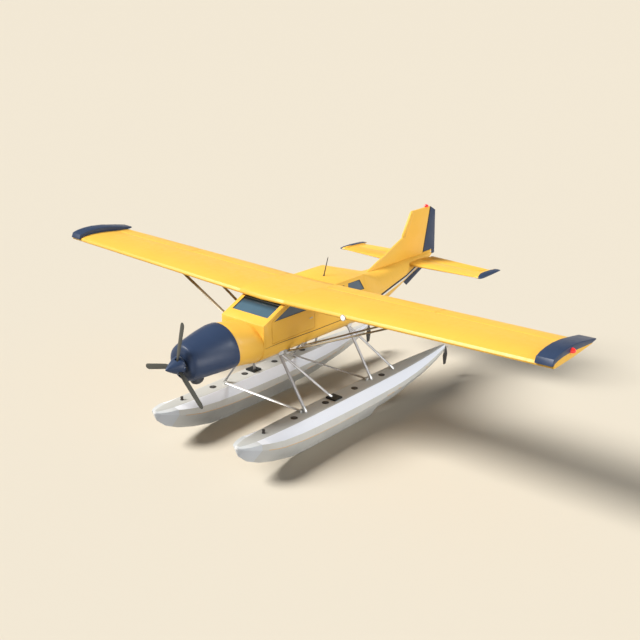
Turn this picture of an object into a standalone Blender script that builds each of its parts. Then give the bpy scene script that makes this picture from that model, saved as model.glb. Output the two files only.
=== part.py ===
"""Floatplane: high wing, one engine, two floats, as separate pieces at full size.

Metres, +Z up. The nose points to -Y, the port wing to +X, and the keels stand on Z = 0.
"""
import math

import bpy
import bmesh
from mathutils import Matrix, Vector

# Shared gaps
GAP = 0.0003
MOVE_GAP = 0.008

# Cabin and belly
CABIN_HALF = 0.673
SKIN = 0.045
SEAM_Z = 2.505
BELLY_DEPTH = 0.455
FLOOR_Z = 2.27
FRONT_Y = -2.745
HOOD_FRONT_Z = 3.072
HOOD_SLOPE = 0.4585
ROOF_Z = 3.478
ROOF_REAR_Y = 0.843
REAR_SLANT = 0.263
CREASE_SLANT = 0.7427

# Nose, cowl and propeller
COWL_REAR_Y = -3.467
COWL_Z = 2.552
PROP_Y = -4.726
PROP_Z = 2.565
PROP_ANGLES = (14.9, 134.9, 254.9)

# Wing
WING_LE = -2.13
WING_Z = 3.40
DIHEDRAL = 0.0325
WING_ROOT_X = 0.70
WING_END_X = 7.31
TE_ROOT = -0.26
TE_RATE = 0.0333
HINGE_ROOT = -0.66
HINGE_RATE = 0.0280
FLAP_X = (0.80, 3.86)
AILERON_X = (3.90, 6.78)

# Tail
TAILPLANE_Z = 3.055
ELEVATOR_Y = 4.16
RUDDER_FOOT = (4.420, 3.198)
RUDDER_HEAD = (4.735, 4.470)

# Floats
FLOAT_X = 1.347
DECK_Z = 0.96
SPREADERS = (("front", -2.170), ("rear", 0.310))
SPREADER_Z = 0.986
PAD_Z = 2.15

YELLOW = (0.80, 0.43, 0.035, 1)
NAVY = (0.025, 0.035, 0.085, 1)
SILVER = (0.55, 0.55, 0.53, 1)
ALLOY = (0.45, 0.45, 0.45, 1)
DARK = (0.02, 0.02, 0.018, 1)
GREY = (0.06, 0.06, 0.055, 1)
GLASS = (0.07, 0.16, 0.22, 1)
LEATHER = (0.10, 0.07, 0.05, 1)
RED = (0.7, 0.03, 0.02, 1)
GREEN = (0.02, 0.45, 0.08, 1)
WHITE = (0.8, 0.8, 0.75, 1)


def clear_scene():
    for obj in list(bpy.data.objects):
        bpy.data.objects.remove(obj, do_unlink=True)


def make_collection(name, hidden):
    made = bpy.data.collections.new(name)
    made.hide_render = hidden
    bpy.context.scene.collection.children.link(made)
    return made


def material(name, color, metallic=0.0, rough=0.4):
    made = bpy.data.materials.new(name)
    made.use_nodes = True
    shader = made.node_tree.nodes["Principled BSDF"]
    shader.inputs["Base Color"].default_value = color
    shader.inputs["Metallic"].default_value = metallic
    shader.inputs["Roughness"].default_value = rough
    made.diffuse_color = color
    return made


def mesh_object(name, verts, faces, home, smooth=False, origin=(0, 0, 0)):
    """A mesh object with its origin where asked, and its faces turned outward."""
    at = Vector(origin)
    mesh = bpy.data.meshes.new(name)
    mesh.from_pydata([tuple(Vector(v) - at) for v in verts], [], faces)
    work = bmesh.new()
    work.from_mesh(mesh)
    bmesh.ops.remove_doubles(work, verts=work.verts, dist=0.00002)
    bmesh.ops.recalc_face_normals(work, faces=work.faces)
    bmesh.ops.triangulate(work, faces=[f for f in work.faces if len(f.verts) > 4])
    work.to_mesh(mesh)
    work.free()
    for face in mesh.polygons:
        face.use_smooth = smooth
    made = bpy.data.objects.new(name, mesh)
    made.location = at
    home.objects.link(made)
    return made


def loft(name, rings, home, smooth=False, origin=(0, 0, 0)):
    """Joins rings of equal length one after the other and closes both ends."""
    count = len(rings[0])
    verts = [v for ring in rings for v in ring]
    faces = []
    for i in range(len(rings) - 1):
        for j in range(count):
            k = (j + 1) % count
            a = i * count
            b = a + count
            faces.append((a + j, a + k, b + k, b + j))
    faces.append(tuple(range(count - 1, -1, -1)))
    last = (len(rings) - 1) * count
    faces.append(tuple(range(last, last + count)))
    return mesh_object(name, verts, faces, home, smooth, origin)


def box(name, low, high, home):
    xs = (low[0], high[0])
    ys = (low[1], high[1])
    zs = (low[2], high[2])
    rings = [[(x, ys[0], zs[0]), (x, ys[1], zs[0]), (x, ys[1], zs[1]), (x, ys[0], zs[1])] for x in xs]
    return loft(name, rings, home)


def slab(name, outline, x0, x1, home, smooth=False, origin=(0, 0, 0)):
    """A side outline of (y, z) points, drawn out from x0 to x1."""
    return loft(name, [[(x, y, z) for y, z in outline] for x in (x0, x1)], home, smooth, origin)


def boolean(target, other, operation):
    """Applies one exact Boolean to the target mesh and drops the other object."""
    cut = target.modifiers.new("cut", "BOOLEAN")
    cut.operation = operation
    cut.solver = "EXACT"
    cut.object = other
    bpy.context.view_layer.update()
    graph = bpy.context.evaluated_depsgraph_get()
    made = bpy.data.meshes.new_from_object(target.evaluated_get(graph))
    target.modifiers.clear()
    target.data = made
    work = bmesh.new()
    work.from_mesh(made)
    bmesh.ops.remove_doubles(work, verts=work.verts, dist=0.00003)
    bmesh.ops.dissolve_degenerate(work, edges=work.edges, dist=0.00002)
    bmesh.ops.triangulate(work, faces=[f for f in work.faces if len(f.verts) > 4])
    work.to_mesh(made)
    work.free()
    bpy.data.objects.remove(other, do_unlink=True)
    return target


def finish(obj, paint):
    obj.data.materials.clear()
    obj.data.materials.append(paint)
    return obj


def mirrored(points, side):
    return [(side * x, y, z) for x, y, z in points]


def lerp(table, y):
    """Straight-line reading of a table of (y, value) rows."""
    if y <= table[0][0]:
        return table[0][1]
    for (y0, v0), (y1, v1) in zip(table, table[1:]):
        if y <= y1:
            return v0 + (v1 - v0) * (y - y0) / (y1 - y0)
    return table[-1][1]


def oval(half, up, down, z, power, count):
    """A closed section in (x, z): a power curve above the side line, an ellipse below it."""
    points = []
    for i in range(count):
        t = 2 * math.pi * i / count
        c = math.cos(t)
        s = math.sin(t)
        n = power if s > 0 else 2.0
        x = half * math.copysign(abs(c) ** (2 / n), c)
        h = up if s > 0 else down
        points.append((x, z + h * math.copysign(abs(s) ** (2 / n), s)))
    return points


# Cowl, engine, spinner and propeller

# Rows of (y, radius, depth below the side line)
COWL_OUT = [(-3.4638, 0.647, 0.400), (-3.62, 0.640, 0.402), (-3.90, 0.590, 0.407), (-4.20, 0.520, 0.413),
            (-4.46, 0.452, 0.413), (-4.54, 0.415, 0.385), (-4.575, 0.360, 0.345), (-4.585, 0.300, 0.300)]
COWL_IN = [(-4.585, 0.120, 0.120), (-4.555, 0.120, 0.120), (-4.555, 0.300, 0.300), (-4.50, 0.390, 0.365),
           (-4.20, 0.495, 0.390), (-3.90, 0.565, 0.384), (-3.62, 0.617, 0.379), (-3.4638, 0.624, 0.377)]


def cowl_ring(y, r, down, count=36):
    z = COWL_Z + (PROP_Z - COWL_Z) * (COWL_REAR_Y - y) / 1.1
    return [(x, y, zz) for x, zz in oval(r, r, down, z, 2.0, count)]


def make_cowl(home, cut, paint):
    """A hollow shell, flatter below: long taper, rounded front ring with one air inlet low in it."""
    rings = [cowl_ring(*row) for row in COWL_OUT + COWL_IN]
    count = 36
    verts = [v for ring in rings for v in ring]
    faces = []
    total = len(rings)
    for i in range(total):
        a = i * count
        b = ((i + 1) % total) * count
        for j in range(count):
            k = (j + 1) % count
            faces.append((a + j, a + k, b + k, b + j))
    cowl = mesh_object("cowl", verts, faces, home, True)
    mouth = box("cut_mouth", (-0.13, -4.70, PROP_Z - 0.335), (0.13, -4.47, PROP_Z - 0.235), cut)
    boolean(cowl, mouth, "DIFFERENCE")
    return finish(cowl, paint)


def make_chin_outlet(home, cut, paint):
    """The dark exhaust and cooler fairing under the cowl."""
    rings = []
    for k in (-0.96, -0.75, -0.4, 0.0, 0.4, 0.75, 0.96):
        w = math.sqrt(1 - k * k)
        rings.append([(0.125 * w * math.cos(a), -4.170 + 0.170 * k, 2.085 + 0.108 * w * math.sin(a))
                      for a in (2 * math.pi * i / 16 for i in range(16))])
    outlet = loft("chin_outlet", rings, home, True)
    inside = loft("cut_outlet", [cowl_ring(y, r + 0.0006, d + 0.0006) for y, r, d in COWL_OUT], cut)
    return finish(boolean(outlet, inside, "DIFFERENCE"), paint)


def make_engine(home, paint):
    """The whole engine as one plain block, with the propeller shaft at its front."""
    rings = []
    for y, r, down in ((-3.4640, 0.40, 0.35), (-3.52, 0.47, 0.36), (-4.10, 0.42, 0.36), (-4.18, 0.20, 0.20),
                       (-4.50, 0.16, 0.16), (-4.50, 0.075, 0.075), (-4.6315, 0.075, 0.075)):
        rings.append([(x, y, z) for x, z in oval(r, r, down, PROP_Z, 2.0, 20)])
    return finish(loft("engine", rings, home, True), paint)


def spinner_rings():
    """A pointed cone, fullest just in front of the cowl."""
    rings = []
    for y, r in ((-4.640, 0.200), (-4.655, 0.207), (-4.720, 0.190), (-4.800, 0.152), (-4.880, 0.108),
                 (-4.960, 0.062), (-5.015, 0.026), (-5.036, 0.004)):
        rings.append([(r * math.cos(a), y, PROP_Z + r * math.sin(a))
                      for a in (2 * math.pi * i / 24 for i in range(24))])
    return rings


# Rows of (radius, chord, thickness, pitch in degrees)
BLADE = [(0.03, 0.075, 0.040, -22), (0.20, 0.085, 0.036, -18), (0.26, 0.108, 0.030, -16), (0.34, 0.132, 0.026, -14),
         (0.60, 0.136, 0.020, -9), (0.85, 0.136, 0.016, -7), (1.00, 0.136, 0.013, -5), (1.045, 0.112, 0.011, -5),
         (1.070, 0.072, 0.009, -5), (1.081, 0.024, 0.008, -5)]


def make_propeller(home, cut, dark, navy):
    """Three blades with round tips on a hub, with the pointed spinner round it."""
    spinner = loft("spinner", spinner_rings(), home, True, (0, PROP_Y, PROP_Z))
    blades = None
    for turn in PROP_ANGLES:
        rings = []
        for r, chord, thick, pitch in BLADE:
            ring = []
            p = math.radians(pitch)
            for i in range(10):
                a = 2 * math.pi * i / 10
                u = chord / 2 * math.cos(a)
                w = thick / 2 * math.sin(a)
                ring.append(Vector((u * math.cos(p) - w * math.sin(p), u * math.sin(p) + w * math.cos(p), r)))
            rings.append(ring)
        spin = Matrix.Rotation(math.radians(turn), 3, "Y")
        rings = [[tuple(spin @ v + Vector((0, PROP_Y, PROP_Z))) for v in ring] for ring in rings]
        blade = loft("propeller", rings, home, True, (0, PROP_Y, PROP_Z))
        blades = blade if blades is None else boolean(blades, blade, "UNION")
    blades.name = "propeller"
    hub_rings = [[(0.10 * math.cos(a), y, PROP_Z + 0.10 * math.sin(a))
                  for a in (2 * math.pi * i / 16 for i in range(16))] for y in (-4.775, -4.632)]
    hub = loft("hub", hub_rings, home, True, (0, PROP_Y, PROP_Z))
    boolean(blades, hub, "UNION")
    bore_rings = [[((0.1006) * math.cos(a), y, PROP_Z + 0.1006 * math.sin(a))
                   for a in (2 * math.pi * i / 16 for i in range(16))] for y in (-4.7756, -4.60)]
    boolean(spinner, loft("bore", bore_rings, cut, False, (0, PROP_Y, PROP_Z)), "DIFFERENCE")
    for turn in PROP_ANGLES:
        spin = Matrix.Rotation(math.radians(turn), 3, "Y")
        ring = [(0.050, -0.050), (0.050, 0.050), (-0.050, 0.050), (-0.050, -0.050)]
        rings = [[tuple(spin @ Vector((u, w, r)) + Vector((0, PROP_Y, PROP_Z))) for u, w in ring]
                 for r in (0.05, 0.30)]
        boolean(spinner, loft("slot", rings, cut), "DIFFERENCE")
    blades.data.name = "propeller"
    return finish(blades, dark), finish(spinner, navy)


# Fuselage

def nose_ring(y, grow=0.0):
    t = (y - (COWL_REAR_Y + 0.0035)) / (FRONT_Y - GAP - COWL_REAR_Y - 0.0035)
    half = 0.632 + (0.672 - 0.632) * t + grow
    up = 0.632 + (0.512 - 0.632) * t + grow
    down = 0.385 + (0.500 - 0.385) * t + grow
    z = 2.552 + (2.550 - 2.552) * t
    return [(x, y, zz) for x, zz in oval(half, up, down, z, 2.0, 36)]


def make_nose(home, cut, paint):
    """The tapering section between firewall and windscreen, hollow towards the cabin."""
    front = COWL_REAR_Y + 0.0035
    rear = FRONT_Y - GAP
    stations = [front + (rear - front) * i / 4 for i in range(5)]
    nose = loft("nose_section", [nose_ring(y) for y in stations], home, True)
    hollow = [nose_ring(y, -0.040) for y in (-3.42, -3.2, -3.0, -2.9)]
    hollow.append([(x, rear + 0.05, z) for x, y, z in nose_ring(rear, -0.040)])
    boolean(nose, loft("cut_nose", hollow, cut), "DIFFERENCE")
    return finish(nose, paint)


def rear_plane_y(z):
    return ROOF_REAR_Y + REAR_SLANT * (ROOF_Z - z)


def make_belly(home, cut, paint):
    """Floor and rounded belly under the cabin, with flat pads for the struts."""
    def ring(grow, start):
        low = oval(CABIN_HALF + grow, 0.001, BELLY_DEPTH + grow, SEAM_Z, 2.0, 40)
        points = [p for p in low if p[1] < SEAM_Z + 0.0001]
        points.sort(key=lambda p: p[0])
        front = [(x, start, z) for x, z in points]
        back = [(x, rear_plane_y(z) - GAP, z) for x, z in points]
        return front, back

    front, back = ring(0.0, FRONT_Y)
    belly = loft("cabin_floor", [front, back], home, True)
    for side in (-1, 1):
        for low, high in (((0.438, -2.09, PAD_Z), (0.518, -1.93, 2.30)), ((0.438, 0.445, PAD_Z), (0.518, 0.60, 2.30)),
                          ((0.50, -1.913, 2.150), (0.600, -1.803, 2.33)),
                          ((0.50, -1.312, 2.130), (0.600, -1.206, 2.33))):
            lo = (min(side * low[0], side * high[0]), low[1], low[2])
            hi = (max(side * low[0], side * high[0]), high[1], high[2])
            boolean(belly, box("pad", lo, hi, home), "UNION")
    inner = [(x, z) for x, z in oval(CABIN_HALF - 0.045, 0.2, BELLY_DEPTH - 0.045, SEAM_Z, 2.0, 40)
             if FLOOR_Z < z < SEAM_Z + 0.0001]
    inner.sort(key=lambda p: p[0])
    left = [p for p in inner if p[0] < 0]
    right = [p for p in inner if p[0] > 0]
    outline = [(left[0][0], 2.7)] + left + [(left[-1][0] + 0.012, FLOOR_Z), (right[0][0] - 0.012, FLOOR_Z)] + right
    outline.append((right[-1][0], 2.7))
    rings = [[(x, FRONT_Y - 0.1, z) for x, z in outline], [(x, 1.40, z) for x, z in outline]]
    boolean(belly, loft("cut_floor", rings, cut), "DIFFERENCE")
    return finish(belly, paint)


def wing_cutter(cut):
    """Everything above the wing's flat underside, for trimming what meets it."""
    z = WING_Z - GAP
    rings = [[(-2.0, y, z + 2 * DIHEDRAL), (0, y, z), (2.0, y, z + 2 * DIHEDRAL), (2.0, y, 4.5), (-2.0, y, 4.5)]
             for y in (-2.40, TE_ROOT + 0.004)]
    return loft("cut_wing", rings, cut)


def hood_z(y):
    return HOOD_FRONT_Z + HOOD_SLOPE * (y - FRONT_Y)


def make_windscreen(home, cut, paint, glass):
    """Front plate and sloping screen frame in one, with one pane let into it."""
    drop = SKIN * math.sqrt(1 + HOOD_SLOPE ** 2)
    top_y = -1.97
    outline = [(FRONT_Y, SEAM_Z + GAP), (FRONT_Y, HOOD_FRONT_Z), (top_y, hood_z(top_y)),
               (top_y, hood_z(top_y) - drop), (FRONT_Y + SKIN, hood_z(FRONT_Y + SKIN) - drop),
               (FRONT_Y + SKIN, SEAM_Z + GAP)]
    frame = slab("windscreen_frame", outline, -CABIN_HALF, CABIN_HALF, home)
    boolean(frame, wing_cutter(cut), "DIFFERENCE")
    opening = slab("cut_screen", [(-2.505, 3.00), (-2.505, 3.60), (-2.085, 3.60), (-2.085, 3.00)], -0.567, 0.567, cut)
    boolean(frame, opening, "DIFFERENCE")
    legs = [[(x, y, z) for x, z in oval(0.56, 0.38, 0.30, 2.55, 2.0, 24)] for y in (-2.9, -2.65)]
    boolean(frame, loft("cut_legs", legs, cut), "DIFFERENCE")
    finish(frame, paint)
    y0 = -2.505 + GAP * 2
    y1 = -2.085 - GAP * 2
    pane = slab("windscreen", [(y0, hood_z(y0) - 0.038), (y0, hood_z(y0) - 0.024),
                               (y1, hood_z(y1) - 0.024), (y1, hood_z(y1) - 0.038)], -0.5664, 0.5664, home)
    finish(pane, glass)
    return frame, pane


DOOR = [(-2.470, 2.580), (-2.470, 3.106), (-1.868, 3.382), (-1.008, 3.382), (-1.008, 2.580)]
DOOR_WINDOW = [(-2.400, 3.091), (-1.815, 3.348), (-1.075, 3.348), (-1.075, 3.091)]
MID_WINDOW = [(-0.900, 3.091), (-0.900, 3.370), (0.090, 3.370), (0.090, 3.091)]
REAR_WINDOW = [(0.250, 3.091), (0.250, 3.376), (0.692, 3.376), (0.900, 3.091)]


def grown(outline, by):
    """The outline moved out by a distance, or in where it is negative."""
    area = 0.0
    count = len(outline)
    for i in range(count):
        (y0, z0), (y1, z1) = outline[i], outline[(i + 1) % count]
        area += y0 * z1 - y1 * z0
    sign = 1.0 if area > 0 else -1.0
    lines = []
    for i in range(count):
        (y0, z0), (y1, z1) = outline[i], outline[(i + 1) % count]
        length = math.hypot(y1 - y0, z1 - z0)
        ny = sign * (z1 - z0) / length
        nz = -sign * (y1 - y0) / length
        lines.append((ny, nz, ny * y0 + nz * z0 + by))
    moved = []
    for i in range(count):
        a0, b0, c0 = lines[i - 1]
        a1, b1, c1 = lines[i]
        det = a0 * b1 - a1 * b0
        moved.append(((c0 * b1 - c1 * b0) / det, (a0 * c1 - a1 * c0) / det))
    return moved


def make_side(side, home, cut, paint, glass):
    """One cabin wall with its fixed windows, its door and the door's window."""
    word = "left" if side > 0 else "right"
    drop = SKIN * math.sqrt(1 + HOOD_SLOPE ** 2) + 0.0006
    y0 = FRONT_Y + SKIN + GAP
    top = 3.60
    y_top = FRONT_Y + (top - HOOD_FRONT_Z + drop) / HOOD_SLOPE
    outline = [(y0, SEAM_Z + GAP), (y0, hood_z(y0) - drop), (y_top, top),
               (rear_plane_y(top) - GAP, top), (rear_plane_y(SEAM_Z) - GAP, SEAM_Z + GAP)]
    inner = side * (CABIN_HALF - SKIN)
    outer = side * CABIN_HALF
    wall = slab("cabin_side_" + word, outline, inner, outer, home)
    roof = box("cut_roof", (-1, TE_ROOT - 0.1, ROOF_Z - 0.052 - GAP), (1, 2, 4), cut)
    boolean(wall, roof, "DIFFERENCE")
    boolean(wall, wing_cutter(cut), "DIFFERENCE")
    reach = (side * 0.5, side * 0.8)
    boolean(wall, slab("cut_door", grown(DOOR, 0.007), *reach, cut), "DIFFERENCE")
    boolean(wall, slab("cut_mid", MID_WINDOW, *reach, cut), "DIFFERENCE")
    boolean(wall, slab("cut_rear", REAR_WINDOW, *reach, cut), "DIFFERENCE")
    finish(wall, paint)
    hinge = (side * CABIN_HALF, DOOR[0][0] - 0.0035, 2.98)
    door = slab("door_" + word, DOOR, inner, outer, home, False, hinge)
    boolean(door, slab("cut_pane", DOOR_WINDOW, *reach, cut), "DIFFERENCE")
    finish(door, paint)
    made = [wall, door]
    pane_x = (side * (CABIN_HALF - 0.024), side * (CABIN_HALF - 0.012))
    for name, shape in (("door_window_", DOOR_WINDOW), ("mid_window_", MID_WINDOW), ("rear_window_", REAR_WINDOW)):
        at = hinge if name == "door_window_" else (0, 0, 0)
        pane = slab(name + word, grown(shape, -0.0006), *pane_x, home, False, at)
        finish(pane, glass)
        made.append(pane)
    return made


def make_roof(home, cut, paint):
    """The flat roof behind the wing."""
    z0 = ROOF_Z - 0.052
    front = TE_ROOT + 0.008
    outline = [(front, z0), (front, ROOF_Z), (rear_plane_y(ROOF_Z) - GAP, ROOF_Z), (rear_plane_y(z0) - GAP, z0)]
    return finish(slab("cabin_roof", outline, -CABIN_HALF, CABIN_HALF, home), paint)


def make_panel(home, paint):
    front = FRONT_Y + SKIN + GAP
    outline = [(front, 2.97), (front, 3.02), (-2.60, 3.05), (-2.50, 3.06), (-2.47, 3.01), (-2.50, 2.74), (-2.56, 2.74)]
    return finish(slab("instrument_panel", outline, -0.618, 0.618, home), paint)


def make_seat(name, x, y, half, home, paint):
    outline = [(y, FLOOR_Z + GAP), (y, 2.52), (y + 0.03, 2.56), (y + 0.44, 2.53), (y + 0.53, 3.08), (y + 0.58, 3.10),
               (y + 0.61, 3.07), (y + 0.52, 2.45), (y + 0.50, FLOOR_Z + GAP)]
    return finish(slab(name, outline, x - half, x + half, home), paint)


# Tail cone and tail

TAIL = [(1.850, 0.500, 2.640, 3.190, 2.130, 2.6), (2.300, 0.428, 2.700, 3.188, 2.232, 2.3),
        (2.730, 0.362, 2.765, 3.188, 2.355, 2.1), (3.130, 0.303, 2.825, 3.189, 2.490, 2.0),
        (3.530, 0.248, 2.885, 3.190, 2.634, 2.0), (4.150, 0.165, 2.985, 3.186, 2.818, 2.0),
        (4.500, 0.110, 3.040, 3.180, 2.920, 2.0), (4.790, 0.060, 3.085, 3.160, 3.005, 2.0),
        (4.868, 0.028, 3.080, 3.115, 3.045, 2.0)]


def tail_rings(grow):
    count = 40
    rings = []
    first = oval(CABIN_HALF + grow, ROOF_Z - SEAM_Z + grow, BELLY_DEPTH + grow, SEAM_Z, 40.0, count)
    rings.append([(x, rear_plane_y(z) + GAP, z) for x, z in first])
    crease = []
    for x, z in first:
        crease.append((x, ROOF_REAR_Y + 0.012 + CREASE_SLANT * (ROOF_Z - max(z, SEAM_Z)), z))
    rings.append(crease)
    for y, half, side_z, top, low, power in TAIL:
        ring = oval(half + grow, top - side_z + grow, side_z - low + grow, side_z, power, count)
        rings.append([(x, y, z) for x, z in ring])
    return rings


def tailplane_section(x, grow=0.0):
    """Closed (y, z) outline of the fixed tailplane, its rear face left straight for the elevator."""
    lead = 3.510 + 0.071 * abs(x)
    t = (0.105 - 0.020 * abs(x)) / 2 + grow
    rear = ELEVATOR_Y - (t - grow) - MOVE_GAP + grow
    span = rear - lead
    z = TAILPLANE_Z
    upper = [(lead - grow, z - 0.006), (lead + 0.012 * span, z + 0.45 * t), (lead + 0.09 * span, z + 0.86 * t),
             (lead + 0.45 * span, z + t), (rear, z + t * 0.98)]
    lower = [(rear, z - t * 0.98), (lead + 0.45 * span, z - t), (lead + 0.09 * span, z - 0.80 * t)]
    return upper + lower


def elevator_section(x, fixed=False):
    t = (0.105 - 0.020 * abs(x)) / 2
    rear = 4.700 - 0.085 * abs(x)
    z = TAILPLANE_Z
    y = ELEVATOR_Y
    points = [(y + t * math.cos(a), z + t * math.sin(a)) for a in (math.radians(d) for d in range(90, 271, 30))]
    if fixed:
        points = [(y - t - MOVE_GAP - 0.05, z + t * 0.96), (y - t - MOVE_GAP - 0.05, z - t * 0.96)]
    return [(rear, z + 0.008)] + points + [(rear, z - 0.008)]


def make_tail(home, cut, paint, navy):
    cone = loft("rear_fuselage", tail_rings(0.0), home, True)
    spread = (2.20, 1.0, 0.0, -1.0, -2.20)
    gap_rings = [[(x, y, z) for y, z in tailplane_section(x, 0.0009)] for x in spread]
    boolean(cone, loft("cut_tailplane", gap_rings, cut), "DIFFERENCE")
    finish(cone, paint)
    plane_rings = [[(x, y, z) for y, z in tailplane_section(x)] for x in spread]
    plane = loft("tailplane", plane_rings, home)
    for side in (-1, 1):
        rings = [[(side * x, y, z) for y, z in elevator_section(x, True)] for x in (2.07, 2.20)]
        boolean(plane, loft("end_bay", rings, home), "UNION")
    finish(plane, paint)
    made = [cone, plane]
    for side, word in ((1, "left"), (-1, "right")):
        rings = [[(side * x, y, z) for y, z in elevator_section(x)] for x in (0.19, 2.055)]
        lift = loft("elevator_" + word, rings, home, False, (0, ELEVATOR_Y, TAILPLANE_Z))
        finish(lift, paint)
        made.append(lift)
        rings = []
        for x, grow in ((2.185, -0.02), (2.22, 0.0), (2.33, -0.006), (2.375, -0.028), (2.39, -0.05)):
            half = 0.062 + grow
            front = 3.650 - grow * 0.3
            rear = 4.720 + grow
            ring = []
            for f, h in ((0, 0), (0.03, 0.55), (0.15, 0.95), (0.40, 1.0), (0.75, 0.62), (1, 0.10)):
                ring.append((side * x, front + f * (rear - front), TAILPLANE_Z + h * half))
            for f, h in ((1, 0.10), (0.75, 0.5), (0.40, 0.8), (0.15, 0.75), (0.03, 0.4)):
                ring.append((side * x, front + f * (rear - front), TAILPLANE_Z - h * half))
            rings.append(ring)
        boolean(plane, loft("tip", rings, home), "UNION")
    return made


def hinge_y(z):
    t = (z - RUDDER_FOOT[1]) / (RUDDER_HEAD[1] - RUDDER_FOOT[1])
    return RUDDER_FOOT[0] + t * (RUDDER_HEAD[0] - RUDDER_FOOT[0])


def make_fin(home, cut, paint, navy, dark):
    """Fin with its long dorsal root, the rudder on its slanted hinge, and the fin below the tail."""
    def lead(z):
        return lerp([(3.10, 1.64), (3.185, 1.850), (3.818, 3.465), (4.478, 3.863)], z)

    rings = []
    for z in (3.10, 3.185, 3.50, 3.818, 4.15, 4.478):
        front = lead(z)
        rear = hinge_y(z) - 0.034 - MOVE_GAP
        half = 0.050 - 0.017 * (z - 3.1) / 1.38
        nose = 0.024 if z > 3.8 else 0.020
        rings.append([(-nose, front, z), (nose, front, z), (half * 0.9, front + 0.09, z),
                      (half, front + 0.45 * (rear - front), z), (half * 0.85, rear, z), (-half * 0.85, rear, z),
                      (-half, front + 0.45 * (rear - front), z), (-half * 0.9, front + 0.09, z)])
    fin = loft("fin", rings, home)
    boolean(fin, loft("cut_cone", tail_rings(0.0009), cut), "DIFFERENCE")
    finish(fin, paint)
    def rudder_rear(z):
        return lerp([(3.066, 5.036), (4.334, 4.996), (4.470, 4.760)], z)

    rings = []
    for z in (3.215, 3.60, 4.00, 4.334, 4.470):
        t = 0.034 - 0.010 * (z - 3.2) / 1.27
        y = hinge_y(z)
        rear = rudder_rear(z)
        ring = [(-0.008, rear, z), (0.008, rear, z)]
        ring += [(t * math.cos(a), y - t * math.sin(a), z) for a in (math.radians(d) for d in range(0, 181, 30))]
        rings.append(ring)
    foot = (0, RUDDER_FOOT[0], RUDDER_FOOT[1])
    rudder = loft("rudder", rings, home, False, foot)
    heel = [[(-h, f, z), (h, f, z), (0.008, r, z), (-0.008, r, z)] for z, f, r, h in
            ((3.070, 4.915, 5.036, 0.014), (3.26, 4.905, 5.030, 0.013))]
    boolean(rudder, loft("heel", heel, home, False, foot), "UNION")
    finish(rudder, navy)
    ring = [(3.508, 2.560), (3.697, 2.407), (4.425, 2.729), (4.350, 2.90), (3.60, 2.75)]
    lower = slab("ventral_fin", ring, -0.014, 0.014, home)
    boolean(lower, loft("cut_cone", tail_rings(0.0009), cut), "DIFFERENCE")
    finish(lower, navy)
    return [fin, rudder, lower]


# Wing

def te_y(x):
    return TE_ROOT - TE_RATE * abs(x)


def hinge_line_y(x):
    return HINGE_ROOT - HINGE_RATE * abs(x)


def bottom_z(x):
    return WING_Z + DIHEDRAL * abs(x)


def wing_shape(x):
    """(fraction of chord, height above the underside) over the top and then back below."""
    k = 1.0 - 0.018 * abs(x)
    top = [(0.004, 0.052), (0.022, 0.108), (0.090, 0.142), (0.22, 0.163), (0.38, 0.162), (0.55, 0.140), (0.74, 0.104)]
    low = [(0.74, 0.022), (0.50, 0.002), (0.06, 0.000), (0.010, 0.012)]
    return [(f, h * k) for f, h in top], [(f, h * k) for f, h in low]


def top_height(x, f):
    top, low = wing_shape(x)
    table = top + [(1.0, 0.066 * (1.0 - 0.018 * abs(x)))]
    return lerp(table, f)


def low_height(x, f):
    k = 1.0 - 0.018 * abs(x)
    return lerp([(0.0, 0.0), (0.50, 0.002 * k), (0.74, 0.022 * k), (1.0, 0.048 * k)], f)


def fraction_at(x, y):
    return (y - WING_LE) / (te_y(x) - WING_LE)


def nose_circle(x):
    """Hinge centre and radius of a flap or aileron at this span."""
    y = hinge_line_y(x)
    f = fraction_at(x, y)
    hi = top_height(x, f)
    lo = low_height(x, f)
    return y, bottom_z(x) + (hi + lo) / 2, (hi - lo) / 2 * 0.985


def wing_ring(x, rear_y=None):
    """Wing outline at this span, cut short in front of the moving surfaces if asked."""
    top, low = wing_shape(x)
    chord = te_y(x) - WING_LE
    base = bottom_z(x)
    if rear_y is None:
        tail = [(1.0, top_height(x, 1.0)), (1.0, low_height(x, 1.0))]
        points = top + [(0.87, top_height(x, 0.87))] + tail + [(0.87, low_height(x, 0.87))] + low
    else:
        f = fraction_at(x, rear_y)
        top = [p for p in top if p[0] < f - 0.02]
        low = [p for p in low if p[0] < f - 0.02]
        points = top + [(f, top_height(x, f)), (f, low_height(x, f))] + low
    return [(x, WING_LE + f * chord, base + h) for f, h in points]


def slanted(ring, x_at, side):
    """Shifts a ring so that its plane is square to the hinge line."""
    return [(side * (x_at + HINGE_RATE * (y - hinge_line_y(x_at)) - DIHEDRAL * (z - bottom_z(x_at) - 0.08)), y, z)
            for x, y, z in ring]


def surface_ring(x):
    y, z, r = nose_circle(x)
    base = bottom_z(x)
    top = []
    for f in (1.0, 0.90, 0.83):
        top.append((x, WING_LE + f * (te_y(x) - WING_LE), base + top_height(x, f)))
    arc = [(x, y - r * math.sin(a), z + r * math.cos(a)) for a in (math.radians(d) for d in range(0, 181, 30))]
    low = []
    for f in (0.83, 0.90, 1.0):
        low.append((x, WING_LE + f * (te_y(x) - WING_LE), base + low_height(x, f)))
    return top + arc + low


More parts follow.
